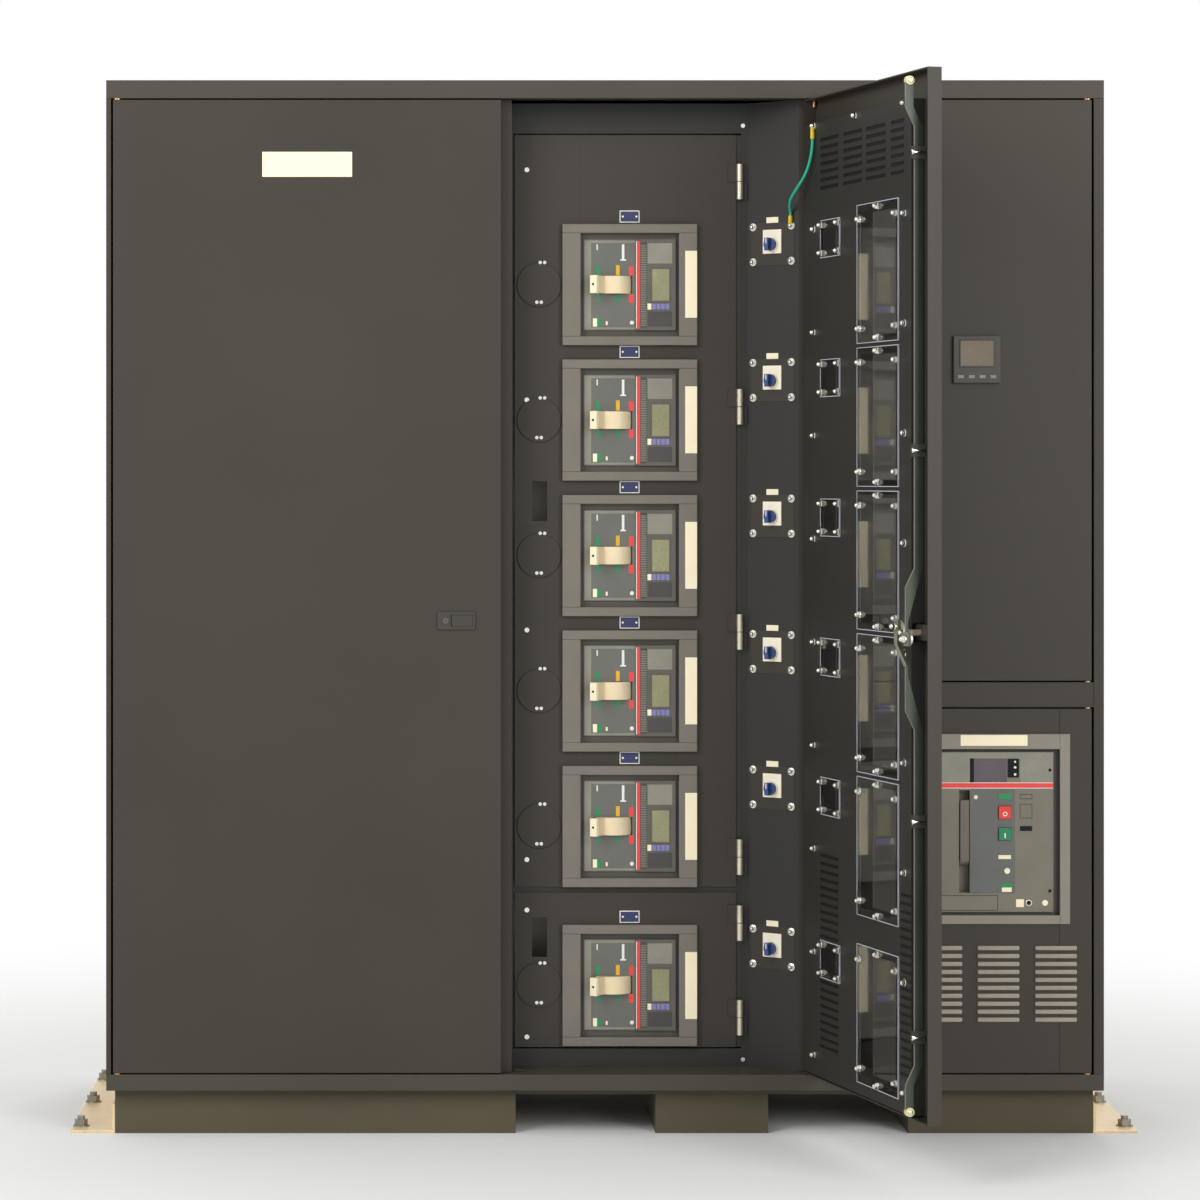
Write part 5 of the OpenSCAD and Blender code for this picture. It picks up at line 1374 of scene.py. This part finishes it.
# %% Meter
METER_SCREEN_LO = Vector((-33, -0.3, -13))
METER_SCREEN_HI = Vector((34, SUNK, 38))
METER_RIM = 3
METER_RIM_PROUD = 1.6
METER_RIM_ROUND = 0.6
METER_KEYS_X = (-33, -11, 11, 33)
METER_KEYS_Z = -35
METER_KEY_HALF = (6, 3)
METER_KEY_PROUD = 1.2
meter_at = middle("meter")
meter_at.y = corners("meter")[0].y
bm = bmesh.new()
block(bm, meter_at + METER_SCREEN_LO, meter_at + METER_SCREEN_HI, 0, 0)
rim_lo = METER_SCREEN_LO - Vector((METER_RIM, 0, METER_RIM))
rim_hi = METER_SCREEN_HI + Vector((METER_RIM, 0, METER_RIM))
rim_lo.y = -METER_RIM_PROUD
ring_frame(bm, meter_at + rim_lo, meter_at + rim_hi, METER_RIM, METER_RIM_ROUND, 1)
wide, high = METER_KEY_HALF
for x in METER_KEYS_X:
    at = meter_at + Vector((x, 0, METER_KEYS_Z))
    block(bm, at + Vector((-wide, -METER_KEY_PROUD, -high)), at + Vector((wide, SUNK, high)), SOFT_EDGE, 2)
hang("meter_front", bm, "upper_right_door", "meter_black", screen_brown, meter_grey, rim_clear)
print("meter keys", len(METER_KEYS_X))

# %% [markdown]
# ## Inner hinges
# The inner doors hang on bright knuckles that stand proud of the sheet. On each hinge the upper half
# belongs to the door and the lower half to the frame, so each half rides on its own body and they turn on
# each other. A strip behind the gap at the hinges closes it, as the folded edge of the frame does.

# %% Inner hinge knuckles
KNUCKLE = 6.4
KNUCKLE_ROUND = 0.6
KNUCKLE_CHAMFER = 0.8
KNUCKLE_GAP = 0.2
KNUCKLE_SIDES = 20
HINGE_HALF = 36.8
HINGES = {"inner_upper": (559, 1023.3, 1487.7, 1952), "inner_lower": (228, 423)}
KNUCKLE_OUTLINE = [
    (KNUCKLE - KNUCKLE_ROUND, KNUCKLE_GAP), (KNUCKLE, KNUCKLE_GAP + KNUCKLE_CHAMFER),
    (KNUCKLE, HINGE_HALF - KNUCKLE_CHAMFER), (KNUCKLE - KNUCKLE_ROUND, HINGE_HALF),
]
inner_hinge = Vector(joints["inner_upper_swing"]["pos_m"]) / MM
for body, heights in HINGES.items():
    halves = ((f"{body}_knuckles", body, UP), (f"{body}_frame_knuckles", "cabinet", -UP))
    for name, rides, way in halves:
        bm = bmesh.new()
        for z in heights:
            turned(bm, (inner_hinge.x, inner_hinge.y, z), way, KNUCKLE_OUTLINE, 0, KNUCKLE_SIDES)
        hang(name, bm, rides, "zinc", hinge_steel)
print("inner hinges", sum(len(heights) for heights in HINGES.values()))

# %% Strip behind the inner hinges
STRIP_X = (275, 290)
STRIP_Y = (-271.5, -270)
STRIP_ROUND = 0.2
strip_lo, strip_hi = corners("inner_door_lower")[0].z, corners("inner_door_upper")[1].z
bm = bmesh.new()
block(bm, (STRIP_X[0], STRIP_Y[0], strip_lo), (STRIP_X[1], STRIP_Y[1], strip_hi), STRIP_ROUND)
hang("hinge_side_strip", bm, "cabinet", "cabinet_paint", inner_paint)
print("strip height", round(strip_hi - strip_lo))

# %% [markdown]
# ## Latch rods
# The open door shows its latch: two rods from a cam, each with a roller at its end, held by bolted
# guides. The rods and the cam are solids already, with a plain round for each roller. The roller's soft
# rims and its bolt, the guide bolts and the cam nuts could be solids too, but no other piece fits on
# them. So they are drawn here, on the closed door, and turned with it. Each rides on what it is bolted
# to, so the rollers travel with their rods.

# %% Rod rollers, guide bolts and cam nuts
FREE_SIDE = Vector((-1, 0, 0))
ROD_X = -170
ROLLER_Y = -331
ROLLER = [(5, -6.6), (8.2, -6.2), (8.6, -5.2), (8.6, 5.2), (8.2, 6.2), (5, 6.6)]
ROLLER_BOLT = [(4.6, 6.2), (4.6, 8.6), (3.8, 9.4), (2.4, 9.7)]
ROLLERS_Z = {"upper_rod": 2088, "lower_rod": 151}
for rod, z in ROLLERS_Z.items():
    bm = bmesh.new()
    turned(bm, (ROD_X, ROLLER_Y, z), FREE_SIDE, ROLLER, 0, sides=28)
    turned(bm, (ROD_X, ROLLER_Y, z), FREE_SIDE, ROLLER_BOLT, 1, sides=20)
    bm.transform(door_turn)
    hang(f"{rod}_roller", bm, rod, "zinc", roller_cream, bright_nut)

GUIDE_BOLT_X = -178.6
GUIDE_BOLT_Y = -358
GUIDES_Z = (1953, 1393, 696, 291)
GUIDE_BOLT = [(3.2, 0), (3.2, 21), (5.4, 21), (5.4, 24.5), (4.2, 26), (2.4, 26.6)]
bm = bmesh.new()
for z in GUIDES_Z:
    turned(bm, (GUIDE_BOLT_X, GUIDE_BOLT_Y, z), INSIDE, GUIDE_BOLT, 0, sides=18)
bm.transform(door_turn)
hang("guide_bolts", bm, "centre_door", "zinc", bright_nut)

CAM_NUT = 7
CAM_AT = Vector((-148, -329, 1050))
CAM_PIN = Vector((23.56, 8, 10.99))
other_pin = Vector((-CAM_PIN.x, CAM_PIN.y, -CAM_PIN.z))
spots = [(at, INSIDE) for at in (CAM_AT, CAM_AT + CAM_PIN, CAM_AT + other_pin)]
grown("cam_nuts", DOME_NUT, spots, "latch_cam", "zinc", bright_nut, door_turn, radius=CAM_NUT)

# %% [markdown]
# ## Air breaker front
# The draw-out breaker behind the lower right door has a clear screen section on top, a red band, a
# blue-grey panel with the buttons, and a strip with locks at the bottom. The panel could be one sheet
# with holes cut in it. It is built in blocks around the button holes instead, so that the buttons can be
# pressed through it. A row gives left, right, bottom, top, the finish and how far the block stands proud
# of the face.

# %% Air breaker panels
AIR_Y = -379
AIR_COATS = [panel_blue, stripe_red, mark_white, screen_plum, gap_black, label_cream, mark_green, rim_clear,
             bright_nut]
BLUE, BAND, PALE, PLUM, BLACK, TAN, LEAF, CLEAR, SILVER = range(len(AIR_COATS))
AIR_BLOCKS = [
    (637.5, 743, 721, 782, CLEAR, 0.6), (743, 912.5, 770, 782, CLEAR, 0.6),
    (845, 912.5, 721, 770, CLEAR, 0.6), (743, 751, 721, 770, BLACK, 0.5),
    (751, 818.5, 722, 769, PLUM, 0.9), (820, 843, 731, 769, BLACK, 1.0),
    (637.5, 912.5, 710, 719.6, BAND, 1.0), (637.5, 912.5, 708.6, 710, PALE, 1.1),
    (637.5, 912.5, 719.6, 720.8, PALE, 1.1),
    (745, 800.5, 495, 707, BLUE, 0.8), (827.5, 835, 495, 707, BLUE, 0.8),
    (800.5, 827.5, 495, 602.5, BLUE, 0.8), (800.5, 827.5, 629.5, 646.5, BLUE, 0.8),
    (800.5, 827.5, 673.5, 707, BLUE, 0.8),
    (801, 826.6, 687, 697.5, LEAF, 1.3), (801, 826.6, 565, 573, TAN, 1.3),
    (808, 828, 507, 516, LEAF, 1.3), (808, 828, 498, 507, TAN, 1.3),
    (845, 870, 622, 632, BLACK, 0.7), (837, 853, 467, 483, TAN, 0.9),
]
AIR_ROUND = 0.2
air_front = bmesh.new()
for left, right, bottom, top, coat, proud in AIR_BLOCKS:
    block(air_front, (left, AIR_Y - proud, bottom), (right, AIR_Y + SUNK, top), AIR_ROUND, coat)
print("air breaker blocks", len(AIR_BLOCKS))

# %% Air breaker outlines and discs
OUTLINES = [(845, 870, 687, 697), (845, 870, 648, 677), (672, 800, 460, 491)]
OUTLINE_WIDE = 0.9
OUTLINE_PROUD = 0.3
for left, right, bottom, top in OUTLINES:
    ring_frame(air_front, (left, AIR_Y - OUTLINE_PROUD, bottom), (right, AIR_Y + SUNK, top), OUTLINE_WIDE, 0,
               BLACK)
# A disc gives its middle, its radius, the finish and how far it stands proud.
DISCS = [
    (755, 691, 4.2, TAN, 1.6), (818.5, 541, 6, TAN, 3.5), (906, 746, 3.4, BLACK, 0.8),
    (906, 500, 3.4, BLACK, 0.8), (863, 475.6, 6.4, SILVER, 1.2), (863, 475.6, 4.6, BLACK, 1.5),
    (896, 475.6, 6, TAN, 1.2), (835, 751.6, 2.6, PALE, 1.5), (835, 737.3, 2.6, PALE, 1.5),
    (835, 763, 2.2, PALE, 1.5),
]
DISC_STEP = 0.3
DISC_CHAMFER = 0.5
DISC_SIDES = 20
for x, z, radius, coat, proud in DISCS:
    outline = [(radius, -SUNK), (radius, proud - DISC_STEP), (radius - DISC_CHAMFER, proud)]
    turned(air_front, (x, AIR_Y, z), FRONT, outline, coat, DISC_SIDES)
hang("air_breaker_front", air_front, "cabinet", "breaker_grey", *AIR_COATS)
print("outlines", len(OUTLINES), "discs", len(DISCS))

# %% Collar around the air breaker
AIR_COLLAR_OUT = 16
AIR_COLLAR_GAP = 0.4
AIR_COLLAR_Y = (-370, -368)
air_lo, air_hi = corners("air_breaker_face")
bm = bmesh.new()
ring_frame(bm, (air_lo.x - AIR_COLLAR_OUT, AIR_COLLAR_Y[0], air_lo.z - AIR_COLLAR_OUT),
           (air_hi.x + AIR_COLLAR_OUT, AIR_COLLAR_Y[1], air_hi.z + AIR_COLLAR_OUT),
           AIR_COLLAR_OUT - AIR_COLLAR_GAP, COLLAR_ROUND)
hang("air_breaker_collar", bm, "cabinet", "breaker_black", collar_grey)
print("air breaker collar", AIR_COLLAR_OUT, "mm wide")

# %% [markdown]
# ## Marks and plates
# The opening button carries a ring and the closing button a bar, a little below their middles, and both
# ride on their buttons. The flange has a paper label and the left door a plate with a bevelled edge. A
# flat field in the shader could stand for them, but a thin block has an edge that catches the light.

# %% Button marks
BUTTON_Y = -384
MARK_DROP = Vector((0, 0, -3))
OFF_RING = [(4.6, -0.1), (4.6, 0.4), (2.9, 0.4), (2.9, -0.1)]
ON_BAR_HALF = (1.4, 5)
ON_BAR_PROUD = 0.4
ON_BAR_ROUND = 0.2
off_at, on_at = middle("off_button") + MARK_DROP, middle("on_button") + MARK_DROP
bm = bmesh.new()
turned(bm, (off_at.x, BUTTON_Y, off_at.z), FRONT, OFF_RING)
hang("off_mark", bm, "off_button", "legend_white", mark_white)
wide, high = ON_BAR_HALF
bm = bmesh.new()
block(bm, (on_at.x - wide, BUTTON_Y - ON_BAR_PROUD, on_at.z - high),
      (on_at.x + wide, BUTTON_Y + SUNK, on_at.z + high), ON_BAR_ROUND)
hang("on_mark", bm, "on_button", "legend_white", mark_white)
print("marks at", round(off_at.z), "and", round(on_at.z))

# %% Flange label and blank nameplate
FLANGE_Y = -387
FLANGE_LABEL = (723, 859, 796, 818)
FLANGE_LABEL_PROUD = 0.5
FLANGE_LABEL_ROUND = 0.2
left, right, bottom, top = FLANGE_LABEL
bm = bmesh.new()
block(bm, (left, FLANGE_Y - FLANGE_LABEL_PROUD, bottom), (right, FLANGE_Y + SUNK, top), FLANGE_LABEL_ROUND)
hang("flange_label", bm, "lower_right_door", "legend_white", label_cream)

NAMEPLATE = (-698, -515, 1954, 2005)
NAMEPLATE_PROUD = 1.5
NAMEPLATE_ROUND = 0.5
left, right, bottom, top = NAMEPLATE
bm = bmesh.new()
block(bm, (left, DOOR_FACE - NAMEPLATE_PROUD, bottom), (right, DOOR_FACE + SUNK, top), NAMEPLATE_ROUND)
hang("blank_nameplate", bm, "left_door", "legend_white", label_cream)
print("label", FLANGE_LABEL, "nameplate", NAMEPLATE)
